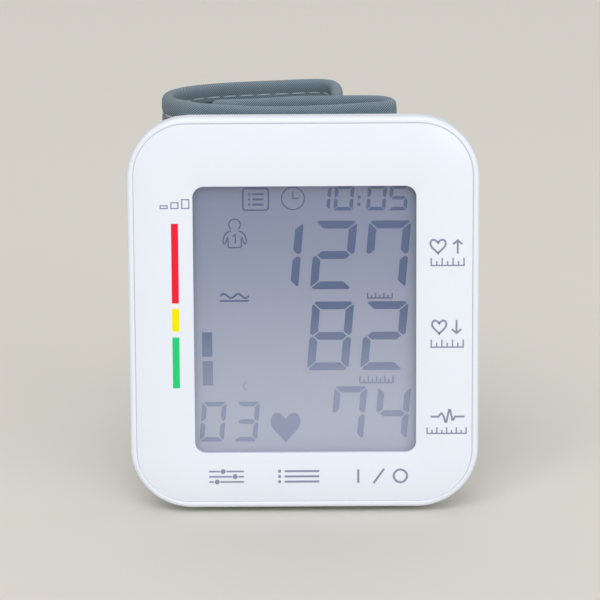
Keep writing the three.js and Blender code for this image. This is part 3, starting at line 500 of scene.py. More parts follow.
@dataclass(frozen=True)
class Ring:
    """A rounded rectangle at one depth, in millimetres: one step of a stack of outlines."""

    width: float
    height: float
    radius: float
    depth: float
    x: float = 0.0
    z: float = MIDDLE_Z
    segments: int = 20

    def verts(self, mesh: bmesh.types.BMesh) -> list[bmesh.types.BMVert]:
        """Adds the outline to a bmesh.

        Args:
            mesh: the bmesh to add to.

        Returns:
            The points of the loop, from the middle of its lower left corner.
        """
        face = rounded_face(
            mesh, (self.width, self.height), self.radius, (self.x, self.z), self.depth,
            self.segments,
        )
        loop = list(face.verts)
        bmesh.ops.delete(mesh, geom=[face], context="FACES_ONLY")
        start = min(range(len(loop)), key=lambda i: loop[i].co.x + loop[i].co.z)
        return loop[start:] + loop[:start]


def case_ring(depth: float, inset: float) -> Ring:
    """The case's outline at a depth, drawn in by the taper.

    Args:
        depth: depth behind the front plane in millimetres.
        inset: distance in from the outer wall in millimetres.

    Returns:
        The outline.
    """
    drop = TAPER * max(0.0, depth - STRAIGHT)
    radius = CASE_R - CORNER_SHARE * drop - inset
    width, height = CASE_W - 2 * (drop + inset), CASE_H - 2 * (drop + inset)
    return Ring(width, height, max(radius, SMALLEST_R), depth)


def window_ring(depth: float, grow: float) -> Ring:
    """The window's outline at a depth, grown outwards."""
    width, height, radius, x, z = WINDOW
    return Ring(width + 2 * grow, height + 2 * grow, radius + grow, depth, x, z)


def stacked(rings: Sequence[Ring], closed: bool = True) -> bmesh.types.BMesh:
    """Bridges outlines one after the other.

    Args:
        rings: the outlines in order.
        closed: True to bridge the last one to the first, False to cap both ends.

    Returns:
        A bmesh with one closed surface.
    """
    mesh = bmesh.new()
    loops = [ring.verts(mesh) for ring in rings]
    pairs = list(zip(loops, loops[1:]))
    if closed:
        pairs.append((loops[-1], loops[0]))
    for first, second in pairs:
        turned = zip(first, second, second[1:] + second[:1], first[1:] + first[:1])
        for corners in turned:
            mesh.faces.new(corners)
    if not closed:
        mesh.faces.new(loops[0])
        mesh.faces.new(loops[-1][::-1])
    outward(mesh)
    return mesh


def fillet(radius: float, steps: int, at_depth: float = 0.0) -> list[tuple[float, float]]:
    """A quarter round from the side wall to the face in front of it.

    Args:
        radius: its radius in millimetres.
        steps: the number of steps.
        at_depth: depth of the face in millimetres.

    Returns:
        Depth and inset of each step.
    """
    turns = (step / steps * math.pi / 2 for step in range(steps + 1))
    return [
        (at_depth + radius * (1 - math.sin(t)), radius * (1 - math.cos(t))) for t in turns
    ]


def cut_out(target: bpy.types.Object, cutter: bmesh.types.BMesh) -> None:
    """Cuts a closed bmesh out of an object for good, and removes the cutter.

    Args:
        target: the object to cut.
        cutter: the closed bmesh.
    """
    data = bpy.data.meshes.new("cutter")
    cutter.to_mesh(data)
    cutter.free()
    tool = bpy.data.objects.new("cutter", data)
    bpy.context.collection.objects.link(tool)
    modifier = target.modifiers.new("cut", "BOOLEAN")
    modifier.operation, modifier.solver, modifier.object = "DIFFERENCE", "EXACT", tool
    bpy.context.view_layer.update()
    evaluated = target.evaluated_get(bpy.context.evaluated_depsgraph_get())
    fresh = bpy.data.meshes.new_from_object(evaluated)
    target.modifiers.remove(modifier)
    target.data = fresh
    bpy.data.objects.remove(tool)
    bpy.data.meshes.remove(data)


@dataclass
class FrontShell:
    """Front cover with its polished rim, and the printed panel let into it."""

    edge: float = 0.9
    rim: float = 1.25
    recess: float = 0.6
    lens_seat: float = 1.6
    back: float = 2.3
    wall: float = 2.8
    lip: float = 1.9
    lip_end: float = 5.0
    seam: float = 3.0
    body: str = "case"

    def cover(self) -> bpy.types.Object:
        """Models the moulded front cover.

        Returns:
            The cover, which replaces the CAD node.
        """
        recess = Ring(CASE_W - 2 * self.rim, CASE_H - 2 * self.rim, 11.6, 0.12)
        rings = [case_ring(self.seam, 0.0), case_ring(self.edge + 0.6, 0.0)]
        rings += [case_ring(depth, inset) for depth, inset in fillet(self.edge, 6)]
        rings += [
            Ring(CASE_W - 2 * self.rim + 0.2, CASE_H - 2 * self.rim + 0.2, 11.7, 0.02),
            recess,
            Ring(recess.width - 0.26, recess.height - 0.26, recess.radius - 0.13, 0.3),
            Ring(recess.width - 0.26, recess.height - 0.26, recess.radius - 0.13, self.recess),
            window_ring(self.recess, 1.4),
            window_ring(self.lens_seat, 1.4),
            window_ring(self.lens_seat, 0.3),
            window_ring(self.back, 0.3),
            case_ring(self.back, self.wall),
            case_ring(self.lip_end, self.wall),
            case_ring(self.lip_end, self.lip),
            case_ring(self.seam, self.lip),
        ]
        made = finished(stacked(rings), "front_shell", WHITE_ABS, self.body, 50.0)
        for x, width in KEYS.values():
            hole = Ring(width + 0.6, KEY_H + 0.6, KEY_R + 0.3, 0.3, x, KEY_Z, 6)
            deep = Ring(width + 0.6, KEY_H + 0.6, KEY_R + 0.3, 2.9, x, KEY_Z, 6)
            cut_out(made, stacked([hole, deep], closed=False))
        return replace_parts(made, "front_cover")

    def panel(self) -> bpy.types.Object:
        """Models the printed film, with a rolled outer edge and a soft edge round the window.

        Returns:
            The panel, which replaces the CAD node.
        """
        gap = self.rim + 0.17
        width, height, radius = CASE_W - 2 * gap, CASE_H - 2 * gap, 11.38
        rings = [
            Ring(width, height, radius, 0.55),
            Ring(width, height, radius, 0.24),
            Ring(width - 0.06, height - 0.06, radius - 0.03, 0.18),
            Ring(width - 0.2, height - 0.2, radius - 0.1, 0.15),
            window_ring(0.15, 0.14),
            window_ring(0.17, 0.06),
            window_ring(0.24, 0.0),
            window_ring(0.55, 0.0),
        ]
        made = finished(
            stacked(rings), "printed_panel", PANEL_FILM, self.body, 50.0
        )
        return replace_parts(made, "front_panel")

    def build(self) -> None:
        """Models both pieces."""
        self.cover()
        self.panel()


# X and Z of an outline's corners, in millimetres
Outline = list[tuple[float, float]]


def stroke(
    points: Sequence[tuple[float, float]], width: float, closed: bool = False
) -> list[Outline]:
    """One quad for each step of a line drawn with a pen, mitred at the bends.

    Args:
        points: X and Z of the line in millimetres.
        width: the pen's width in millimetres.
        closed: True to join the end to the start.

    Returns:
        Outlines that share their ends.
    """
    path = [points[-1], *points, points[0]] if closed else [points[0], *points, points[-1]]
    sides = []
    for before, (x, z), after in zip(path, path[1:], path[2:]):
        nx = nz = 0.0
        steps = [(a, b) for a, b in ((before, (x, z)), ((x, z), after)) if a != b]
        for (x0, z0), (x1, z1) in steps:
            length = math.hypot(x1 - x0, z1 - z0) * len(steps)
            nx, nz = nx - (z1 - z0) / length, nz + (x1 - x0) / length
        reach = width / 2 / max(nx * nx + nz * nz, 0.3)
        sides.append(((x + nx * reach, z + nz * reach), (x - nx * reach, z - nz * reach)))
    if closed:
        sides.append(sides[0])
    return [[a[1], b[1], b[0], a[0]] for a, b in zip(sides, sides[1:])]


def arc(
    centre: tuple[float, float], radius: float, start: float, end: float, steps: int = 24
) -> list[tuple[float, float]]:
    """Points along an arc, angles in degrees from +X towards +Z."""
    turns = (math.radians(start + (end - start) * step / steps) for step in range(steps + 1))
    return [(centre[0] + radius * math.cos(t), centre[1] + radius * math.sin(t)) for t in turns]


def disc(centre: tuple[float, float], radius: float, steps: int = 20) -> Outline:
    """A filled round."""
    return arc(centre, radius, 0, 360, steps)[:-1]


def bar(x0: float, z0: float, x1: float, z1: float) -> Outline:
    """A filled upright rectangle."""
    return [(x0, z0), (x1, z0), (x1, z1), (x0, z1)]


def heart(x: float, z: float, width: float, height: float, steps: int = 40) -> Outline:
    """A heart that stands on its point.

    Args:
        x: X of its lowest point in millimetres.
        z: Z of its lowest point in millimetres.
        width: its width in millimetres.
        height: its height in millimetres.
        steps: points along its outline.

    Returns:
        Its outline.
    """
    points = []
    for step in range(steps):
        t = step / steps * 2 * math.pi
        u = math.copysign(abs(math.sin(t)) ** 2.3, math.sin(t))
        v = (13 * math.cos(t) - 5 * math.cos(2 * t) - 2 * math.cos(3 * t) - math.cos(4 * t)) / 29
        points.append((x + u * width / 2, z + (v + 17 / 29) * height))
    return points


@dataclass(frozen=True)
class Digit:
    """A seven-segment digit: lower left corner, size, bars and gaps in millimetres."""

    x: float
    z: float
    width: float
    height: float
    thick: float
    gap: float = 0.2
    slant: float = 0.0875

    LIT = {
        "0": "abcdef", "1": "bc", "2": "abged", "3": "abgcd", "4": "fgbc",
        "5": "afgcd", "7": "abcf", "8": "abcdefg",
    }

    def segments(self) -> dict[str, Outline]:
        """Makes the seven bars before the slant.

        Returns:
            The outline of each bar by its letter, measured from the lower left corner.
        """
        w, h, t, g = self.width, self.height, self.thick, self.gap
        m = h / 2
        round_off = t * 0.3
        upper_right = [
            (w, h - g - round_off), (w - t * 0.22, h - g - t * 0.3), (w - t, h - t - g),
            (w - t, m + t / 2 + g), (w - t * 0.35, m + g * 0.8), (w, m + g + t * 0.25),
        ]
        top = [
            (g + round_off, h), (w - g - round_off, h), (w - g - t * 0.1, h - t * 0.2),
            (w - t - g, h - t), (t + g, h - t), (g + t * 0.1, h - t * 0.2),
        ]
        middle = [
            (t * 0.45 + g, m), (t + g, m + t / 2), (w - t - g, m + t / 2),
            (w - t * 0.45 - g, m), (w - t - g, m - t / 2), (t + g, m - t / 2),
        ]
        flip_x = [(w - x, z) for x, z in upper_right][::-1]
        return {
            "a": top,
            "b": upper_right,
            "c": [(x, h - z) for x, z in upper_right][::-1],
            "d": [(x, h - z) for x, z in top][::-1],
            "e": [(x, h - z) for x, z in flip_x][::-1],
            "f": flip_x,
            "g": middle,
        }

    def lit(self, figure: str) -> list[Outline]:
        """Picks the bars of one figure, slanted and in place.

        Args:
            figure: a figure from 0 to 8.

        Returns:
            The bars' outlines.
        """
        bars = self.segments()
        return [
            [(self.x + x + self.slant * z, self.z + z) for x, z in bars[key]]
            for key in self.LIT[figure]
        ]


def inked(
    name: str,
    outlines: Iterable[Outline],
    finish: Finish,
    front: float,
    back: float,
    body: str = "case",
) -> bpy.types.Object:
    """A very thin layer cut to several outlines.

    Args:
        name: the piece's name.
        outlines: X and Z outlines in millimetres.
        finish: the ink.
        front: depth of its front face in millimetres.
        back: depth of its back face in millimetres.
        body: the body that it rides on.

    Returns:
        The new piece.
    """
    mesh = bmesh.new()
    faces = []
    for outline in outlines:
        face = mesh.faces.new([mesh.verts.new(place(x, back, z)) for x, z in outline])
        faces.append(face)
    bmesh.ops.remove_doubles(mesh, verts=mesh.verts, dist=0.001 * MM)
    faces = list(mesh.faces)
    bmesh.ops.recalc_face_normals(mesh, faces=faces)
    raised = bmesh.ops.extrude_face_region(mesh, geom=faces)
    verts = [item for item in raised["geom"] if isinstance(item, bmesh.types.BMVert)]
    bmesh.ops.translate(mesh, verts=verts, vec=Vector((0.0, (front - back) * MM, 0.0)))
    bmesh.ops.recalc_face_normals(mesh, faces=mesh.faces)
    return finished(mesh, name, finish, body, None)


@dataclass
class Prints:
    """Ink on the panel: the three-colour scale and plain pictograms, in millimetres."""

    front: float = 0.13
    back: float = 0.15
    pen: float = 0.42
    label_pen: float = 0.46
    bars_pen: float = 0.26
    scale_x: tuple[float, float] = (-28.17, -26.66)
    label_z: tuple[float, float] = (5.45, 8.5)

    def scale(self) -> None:
        """The red, yellow and green bars beside the display."""
        for name, finish, low, high in (
            ("scale_red", RED_INK, 45.60, 63.06),
            ("scale_yellow", YELLOW_INK, 39.39, 44.39),
            ("scale_green", GREEN_INK, 26.83, 38.10),
        ):
            self.printed(name, [bar(self.scale_x[0], low, self.scale_x[1], high)], finish)

    def printed(self, name: str, outlines: list[Outline], finish: Finish) -> None:
        """Lays some marks on the panel in one ink."""
        inked(name, outlines, finish, self.front, self.back)

    @staticmethod
    def ruler(
        x0: float, x1: float, z0: float, z1: float, count: int, pen: float
    ) -> list[Outline]:
        """Ticks of two lengths on a line.

        Args:
            x0: left end in millimetres.
            x1: right end in millimetres.
            z0: lower edge of the line in millimetres.
            z1: top of the long ticks in millimetres.
            count: the number of ticks.
            pen: the pen's width in millimetres.

        Returns:
            The outlines.
        """
        short = 0.62
        marks = stroke([(x0, z0 + pen / 2), (x1, z0 + pen / 2)], pen)
        for index in range(count):
            x = x0 + pen / 2 + (x1 - x0 - pen) * index / (count - 1)
            top = z1 if index % 2 == 0 else z0 + (z1 - z0) * short
            marks += stroke([(x, z0 + pen), (x, top)], pen)
        return marks

    @staticmethod
    def arrow(x: float, z0: float, z1: float, up: bool, pen: float) -> list[Outline]:
        """An upright arrow with an open head.

        Args:
            x: its middle in millimetres.
            z0: its lower end in millimetres.
            z1: its upper end in millimetres.
            up: True to point up, False to point down.
            pen: the pen's width in millimetres.

        Returns:
            The outlines.
        """
        tip, tail = (z1, z0) if up else (z0, z1)
        back = -1.0 if up else 1.0
        barb = tip + back * 1.1
        head = [(x - 1.0, barb), (x, tip + back * pen * 0.6), (x + 1.0, barb)]
        return stroke([(x, tail), (x, tip + back * pen * 1.35)], pen) + stroke(head, pen)

    def readings(self) -> list[Outline]:
        """Marks beside the display: level bars, hearts with an arrow, pulse trace and rulers.

        Returns:
            The outlines.
        """
        pen = self.pen
        marks = stroke(heart(28.7, 56.3, 3.3, 3.0, 28), pen, True)
        marks += self.arrow(32.9, 56.22, 59.38, True, pen)
        marks += stroke(heart(29.0, 38.6, 3.1, 2.95, 28), pen, True)
        marks += self.arrow(32.7, 38.5, 41.64, False, pen)
        trace = [
            (27.2, 20.2), (28.9, 20.2), (29.4, 20.9), (29.65, 20.9), (30.05, 20.2),
            (30.35, 19.05), (30.6, 19.05), (31.15, 21.7), (31.4, 21.7), (31.85, 19.5),
            (32.1, 19.5), (32.4, 20.2), (34.5, 20.2),
        ]
        marks += stroke(trace, pen)
        for place_and_count in (
            (27.1, 34.4, 53.5, 55.3, 7), (27.15, 34.3, 35.5, 37.3, 7), (26.3, 35.0, 16.3, 17.8, 9),
        ):
            marks += self.ruler(*place_and_count, pen * 0.72)
        for index in range(3):
            left, low = -30.4 + 2.3 * index, 66.4
            marks += stroke(bar(left, low, left + 1.5, 66.99 + 0.66 * index), self.bars_pen, True)
        return marks

    def labels(self) -> list[Outline]:
        """Marks over the three keys: sliders, list, and the bar and ring of a power switch.

        Returns:
            The outlines.
        """
        pen, (low, high) = self.label_pen, self.label_z
        middle = (low + high) / 2
        rows = (low + 0.35, middle, high - 0.35)
        marks = []
        for z, knob in zip(rows, (-18.9, -15.0, -17.6)):
            marks += stroke([(-20.6, z), (knob - 0.7, z)], pen * 0.8)
            marks += stroke([(knob + 0.7, z), (-13.1, z)], pen * 0.8)
            marks.append(disc((knob, z), 0.55))
        for z in rows:
            marks.append(disc((-5.4, z), 0.36))
            marks += stroke([(-4.3, z), (3.2, z)], pen)
        marks += stroke([(11.6, low), (11.6, high)], pen)
        marks += stroke([(14.9, low - 0.1), (17.2, high + 0.1)], pen)
        marks += stroke(arc((20.7, middle), 1.42, 0, 360, 36)[:-1], pen, True)
        return marks

    def build(self) -> None:
        """Adds all the prints."""
        self.scale()
        self.printed("reading_marks", self.readings(), GREY_INK)
        self.printed("key_marks", self.labels(), GREY_INK)


def dressed(
    node_name: str,
    name: str,
    finish: Finish,
    body: str,
    edge: float = 0.12,
    steps: int = 2,
    smooth: float = 30.0,
) -> bpy.types.Object:
    """Copies a CAD node as a clean mesh with softened edges, and lets the copy stand for it.

    Args:
        node_name: the CAD node.
        name: the new piece's name.
        finish: its finish.
        body: the body that it rides on.
        edge: width of the softened edges in millimetres.
        steps: segments across each softened edge.
        smooth: the angle in degrees past which an edge counts as sharp.

    Returns:
        The new piece.
    """
    mesh = bmesh.new()
    mesh.from_mesh(bpy.data.objects[node_name].data)
    mesh.transform(bpy.data.objects[node_name].matrix_world)
    outward(mesh)
    bmesh.ops.dissolve_limit(
        mesh, angle_limit=math.radians(0.5), verts=mesh.verts, edges=mesh.edges,
        delimit={"NORMAL"},
    )
    made = finished(mesh, name, finish, body, smooth)
    if edge > 0.0:
        modifier = made.modifiers.new("soft edges", "BEVEL")
        modifier.width, modifier.segments = edge * MM, steps
        modifier.limit_method, modifier.angle_limit = "ANGLE", math.radians(smooth)
        modifier.harden_normals = True
        modifier.use_clamp_overlap = True
    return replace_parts(made, node_name)


@dataclass
class Screen:
    """Display behind the window: clear lens, liquid crystal cell, and its darkened segments."""

    front: float = 2.555
    back: float = 2.585
    icon_pen: float = 0.27

    def figures(self) -> list[Outline]:
        """The figures of the five readings.

        Returns:
            The outlines of the lit bars.
        """
        rows = (
            ("1", Digit(-9.85, 48.0, 8.66, 15.0, 1.7)),
            ("2", Digit(1.35, 48.0, 8.92, 15.0, 1.7)),
            ("7", Digit(12.75, 48.0, 9.0, 15.0, 1.7)),
            ("8", Digit(0.6, 30.05, 8.93, 15.2, 1.7)),
            ("2", Digit(12.05, 30.05, 9.14, 15.2, 1.7)),
            ("7", Digit(5.55, 14.3, 7.05, 12.1, 1.35)),
            ("4", Digit(14.98, 14.3, 7.06, 12.1, 1.35)),
            ("0", Digit(-22.7, 14.2, 5.25, 8.89, 1.02)),
            ("3", Digit(-15.35, 14.2, 5.08, 8.89, 1.02)),
            ("1", Digit(1.65, 65.22, 4.0, 5.5, 0.78, 0.13)),
            ("0", Digit(6.4, 65.22, 4.12, 5.5, 0.78, 0.13)),
            ("0", Digit(13.4, 65.22, 4.06, 5.5, 0.78, 0.13)),
            ("5", Digit(18.12, 65.22, 3.95, 5.5, 0.78, 0.13)),
        )
        return [outline for figure, digit in rows for outline in digit.lit(figure)]

    def person(self) -> list[Outline]:
        """The outline of a user with a plain 1.

        Returns:
            The outlines.
        """
        pen, x, z = self.icon_pen, -14.66, 62.25
        side = (
            (0.8, 1.3), (1.45, 1.6), (2.05, 2.15), (2.4, 3.0), (2.5, 3.75), (2.35, 4.15),
            (2.05, 4.15), (1.85, 3.7), (1.6, 2.85), (1.42, 3.1), (1.42, 4.3), (1.4, 4.8),
            (1.15, 5.02),
        )
        body = [(x - dx, z - dz) for dx, dz in side] + [(x + dx, z - dz) for dx, dz in side[::-1]]
        marks = stroke(body, pen)
        marks += stroke(arc((x, z), 1.24, -50, 230, 24), pen)
        marks += stroke([(x - 0.45, z - 2.6), (x + 0.12, z - 2.1), (x + 0.12, z - 4.1)], pen * 1.2)
        return marks

    def list_icon(self) -> list[Outline]:
        """A framed list of stored readings.

        Returns:
            The outlines.
        """
        pen, x0, x1, z0, z1 = self.icon_pen * 1.25, -12.86, -7.4, 65.4, 70.12
        frame = [
            (x0 + 0.4, z0), (x1 - 0.4, z0), (x1, z0 + 0.4), (x1, z1 - 0.4),
            (x1 - 0.4, z1), (x0 + 0.4, z1), (x0, z1 - 0.4), (x0, z0 + 0.4),
        ]
        marks = stroke(frame, pen, True)
        for index in range(3):
            z = z0 + 1.2 + index * 1.14
            marks.append(bar(x0 + 1.1, z - 0.22, x0 + 1.6, z + 0.22))
            marks.append(bar(x0 + 2.0, z - 0.22, x1 - 1.0, z + 0.22))
        return marks

    def icons(self) -> list[Outline]:
        """The small marks of the display.

        Returns:
            The outlines.
        """
        pen, clock = self.icon_pen, (-2.18, 67.93)
        marks = self.list_icon() + self.person()
        marks += stroke(arc(clock, 2.44, 0, 360, 40)[:-1], pen, True)
        marks += stroke([(clock[0], clock[1] + 1.5), clock, (clock[0] + 1.25, clock[1])], pen)
        marks += [bar(11.6, 67.75, 12.27, 68.42), bar(11.55, 66.27, 12.22, 66.94)]
        marks += [bar(-21.87, 33.16, -19.68, 38.58), bar(-21.8, 26.76, -19.6, 32.2)]
        marks += stroke([(-12.5, 27.7), (-13.1, 26.6), (-12.5, 25.5)], 0.16)
        marks.append(heart(-4.03, 13.85, 6.4, 6.75))
        marks += self.mean_icon()
        marks += Prints.ruler(13.6, 19.1, 45.85, 47.15, 7, 0.26)
        marks += Prints.ruler(11.9, 19.3, 27.05, 28.7, 9, 0.3)
        return marks

    def mean_icon(self) -> list[Outline]:
        """A wave over its mean level.

        Returns:
            The outlines.
        """
        steps = 31
        wave = [
            (-17.9 + 0.2 * step, 46.6 + 0.45 * math.sin(step / steps * 4 * math.pi))
            for step in range(steps + 1)
        ]
        return stroke(wave, 0.42) + stroke([(-18.0, 45.5), (-11.7, 45.5)], 0.38)

    def build(self) -> None:
        """Adds the lens, the cell and the segments."""
        dressed("display_lens", "window_lens", ACRYLIC, "case", 0.12, 3)
        dressed("display_cell", "crystal_cell", CELL_GLASS, "case", 0.08)
        outlines = self.figures() + self.icons()
        inked("segments", outlines, SEGMENTS, self.front, self.back)


@dataclass(frozen=True)
class Part:
    """One CAD node with its finish: the node, the new piece's name, finish, body and slot."""

    node: str
    name: str
    finish: Finish
    slot: str
    body: str = "case"
    edge: float = 0.1


@dataclass
class Housing:
    """Rear cover, cuff plate, battery door and the screws."""

    parts: tuple[Part, ...] = (
        Part("rear_cover", "rear_shell", WHITE_ABS, "white_shell", edge=0.15),
        Part("cuff_plate", "cuff_carrier", WHITE_ABS, "white_shell", edge=0.3),
        Part("battery_door", "door", WHITE_ABS, "white_shell", "battery_door", 0.2),
        Part("case_screw_1", "screw_left", PLATED_STEEL, "steel", edge=0.08),
        Part("case_screw_2", "screw_right", PLATED_STEEL, "steel", edge=0.08),
        Part("display_frame", "display_holder", GREY_ABS, "grey_plastic"),
        Part("elastomer_strip", "contact_strip", ELASTOMER, "rubber"),
    )

    def build(self) -> None:
        """Dresses the pieces of the case."""
        for part in self.parts:
            dressed(part.node, part.name, part.finish, part.body, part.edge)


@dataclass
class Inside(Housing):
    """Board, keys, cells, contacts and the air system."""

    parts: tuple[Part, ...] = (
        Part("main_board", "board", SOLDER_MASK, "circuit_board", edge=0.05),
        Part("control_chip", "chip", DARK_NYLON, "dark_plastic"),
        Part("buzzer", "sounder", DARK_NYLON, "dark_plastic"),
        Part("pressure_sensor", "sensor", GREY_ABS, "grey_plastic"),
        Part("set_key", "key_set", GREY_ABS, "grey_plastic", "set_key", 0.15),
        Part("memory_key", "key_memory", GREY_ABS, "grey_plastic", "memory_key", 0.15),
        Part("power_key", "key_power", GREY_ABS, "grey_plastic", "power_key", 0.15),
        Part("set_switch", "switch_set", DARK_NYLON, "dark_plastic"),
        Part("memory_switch", "switch_memory", DARK_NYLON, "dark_plastic"),
        Part("power_switch", "switch_power", DARK_NYLON, "dark_plastic"),
        Part("front_cell", "cell_front", CELL_SLEEVE, "cell_wrap", edge=0.2),
        Part("back_cell", "cell_back", CELL_SLEEVE, "cell_wrap", edge=0.2),
        Part("bridge_contact", "contact_bridge", PLATED_STEEL, "steel", edge=0.05),
        Part("negative_contact", "contact_negative", PLATED_STEEL, "steel", edge=0.05),
        Part("positive_contact", "contact_positive", PLATED_STEEL, "steel", edge=0.05),
        Part("front_coil", "coil_front", PLATED_STEEL, "steel", edge=0.0),
        Part("back_coil", "coil_back", PLATED_STEEL, "steel", edge=0.0),
        Part("pump_motor", "motor", PLATED_STEEL, "steel", edge=0.2),
        Part("pump_crank", "crank", DARK_NYLON, "dark_plastic", "pump_crank"),
        Part("pump_head", "head", DARK_NYLON, "dark_plastic", edge=0.2),
        Part("exhaust_valve", "valve", PLATED_STEEL, "steel", edge=0.2),
        Part("air_manifold", "manifold", DARK_NYLON, "dark_plastic", edge=0.2),
        Part("pump_hose", "hose_pump", SILICONE, "silicone", edge=0.0),
        Part("valve_hose", "hose_valve", SILICONE, "silicone", edge=0.0),
        Part("sensor_hose", "hose_sensor", SILICONE, "silicone", edge=0.0),
        Part("cuff_hose", "hose_cuff", SILICONE, "silicone", edge=0.0),
    )


class Route:
    """Centre line of the cuff seen from above, as points at even steps with their outer side."""

    # Shares of the loop's width and depth, from its left front
    WRAP = (
        (0.768, 0.395), (0.765, 0.667), (0.754, 0.856), (0.73, 0.954), (0.68, 1.0),
        (0.597, 0.998), (0.445, 0.962), (0.294, 0.91), (0.185, 0.836), (0.1, 0.74), (0.046, 0.64),
        (0.015, 0.545), (0.006, 0.46), (0.009, 0.39), (0.017, 0.345),
    )
    LEFT_BEND = ((0.027, 0.31), (0.05, 0.255), (0.085, 0.2))
    ARC = (0.08, 0.16, 0.28, 0.42, 0.58, 0.76, 0.9, 1.0)
    RIGHT_BEND = ((0.97, 0.123), (0.992, 0.161), (1.0015, 0.198), (1.002, 0.215))
    TAIL = (
        (1.002, 0.229), (1.0015, 0.246), (0.992, 0.281), (0.97, 0.312), (0.937, 0.328),
        (0.852, 0.326), (0.731, 0.328), (0.609, 0.325), (0.468, 0.262), (0.366, 0.216),
        (0.265, 0.182), (0.2, 0.163),
    )
    HOOK = ((0.8, 0.414), (0.852, 0.417), (0.915, 0.416))
    # The loop in millimetres, and the arc on the case: its ends, radius and middle
    LOOP_LEFT, LOOP_FRONT, LOOP_WIDTH, LOOP_DEPTH = -30.1, 29.0, 49.4, 28.5
    ARC_FROM, ARC_WIDTH, ARC_RADIUS, ARC_X, ARC_DEPTH = -26.4, 40.4, 60.4, -3.0, 89.4

    def __init__(self, shares: Sequence[Vector], step: float = 0.8) -> None:
        """Smooths the points and spaces them evenly.

        Args:
            shares: plan points in millimetres.
            step: spacing in millimetres.
        """
        dense = self.smoothed(shares)
        lengths = [0.0]
        for first, second in zip(dense, dense[1:]):
            lengths.append(lengths[-1] + (second - first).length)
        self.length = lengths[-1]
        count = max(2, round(self.length / step))
        self.distances = [self.length * index / count for index in range(count + 1)]
        self.points: list[Vector] = []
        at = 0
        for distance in self.distances:
            while at < len(lengths) - 2 and lengths[at + 1] < distance:
                at += 1
            span = max(lengths[at + 1] - lengths[at], 1e-9)
            self.points.append(dense[at].lerp(dense[at + 1], (distance - lengths[at]) / span))

    @staticmethod
    def smoothed(points: Sequence[Vector], steps: int = 16) -> list[Vector]:
        """Points on the Catmull-Rom curve through the given ones.

        Args:
            points: plan points in millimetres.
            steps: steps between two of them.

        Returns:
            The dense points.
        """
        last = len(points) - 1
        found = []
        for index in range(last):
            a, b = points[max(index - 1, 0)], points[index]
            c, d = points[index + 1], points[min(index + 2, last)]
            for step in range(steps):
                t = step / steps
                leave, arrive = (c - a) / 2, (d - b) / 2
                found.append(
                    (2 * b - 2 * c + leave + arrive) * t**3
                    + (-3 * b + 3 * c - 2 * leave - arrive) * t**2
                    + leave * t + b
                )
        return [*found, points[last].copy()]

    @classmethod
    def on_loop(cls, shares: Iterable[tuple[float, float]]) -> list[Vector]:
        """Turns shares of the loop's width and depth into plan millimetres."""
        left, front, width, depth = cls.LOOP_LEFT, cls.LOOP_FRONT, cls.LOOP_WIDTH, cls.LOOP_DEPTH
        return [Vector((left + x * width, front + y * depth)) for x, y in shares]

    @classmethod
    def whole(cls) -> Route:
        """The whole band: from the free end of the wrap, along the case, to the end of the tail.

        Returns:
            The route.
        """
        near = []
        for share in cls.ARC:
            x = cls.ARC_FROM + share * cls.ARC_WIDTH
            rise = math.sqrt(cls.ARC_RADIUS**2 - (x - cls.ARC_X) ** 2)
            near.append(Vector((x, cls.ARC_DEPTH - rise)))
        points = cls.on_loop(cls.WRAP) + cls.on_loop(cls.LEFT_BEND) + near
        return cls(points + cls.on_loop(cls.RIGHT_BEND) + cls.on_loop(cls.TAIL))

    def normal(self, index: int) -> Vector:
        """The unit vector towards the outer side.

        Args:
            index: the step.

        Returns:
            The vector in plan.
        """
        before = self.points[max(index - 1, 0)]
        after = self.points[min(index + 1, len(self.points) - 1)]
        along = (after - before).normalized()
        return Vector((along.y, -along.x))

    def nearest(self, x: float, y: float) -> int:
        """The step closest to a plan point."""
        target = Vector((x, y))
        return min(range(len(self.points)), key=lambda i: (self.points[i] - target).length)


# Distances outwards from the band's centre line and heights, in millimetres
Profile = list[tuple[float, float]]


@dataclass
class Section:
    """One stiff part of the cuff: the steps of the route that it covers and how it moves."""

    name: str
    node: str
    first: int
    last: int
    body: str
    start: tuple[float, float] | None = None
    end: tuple[float, float] | None = None
    free_end: int = 0


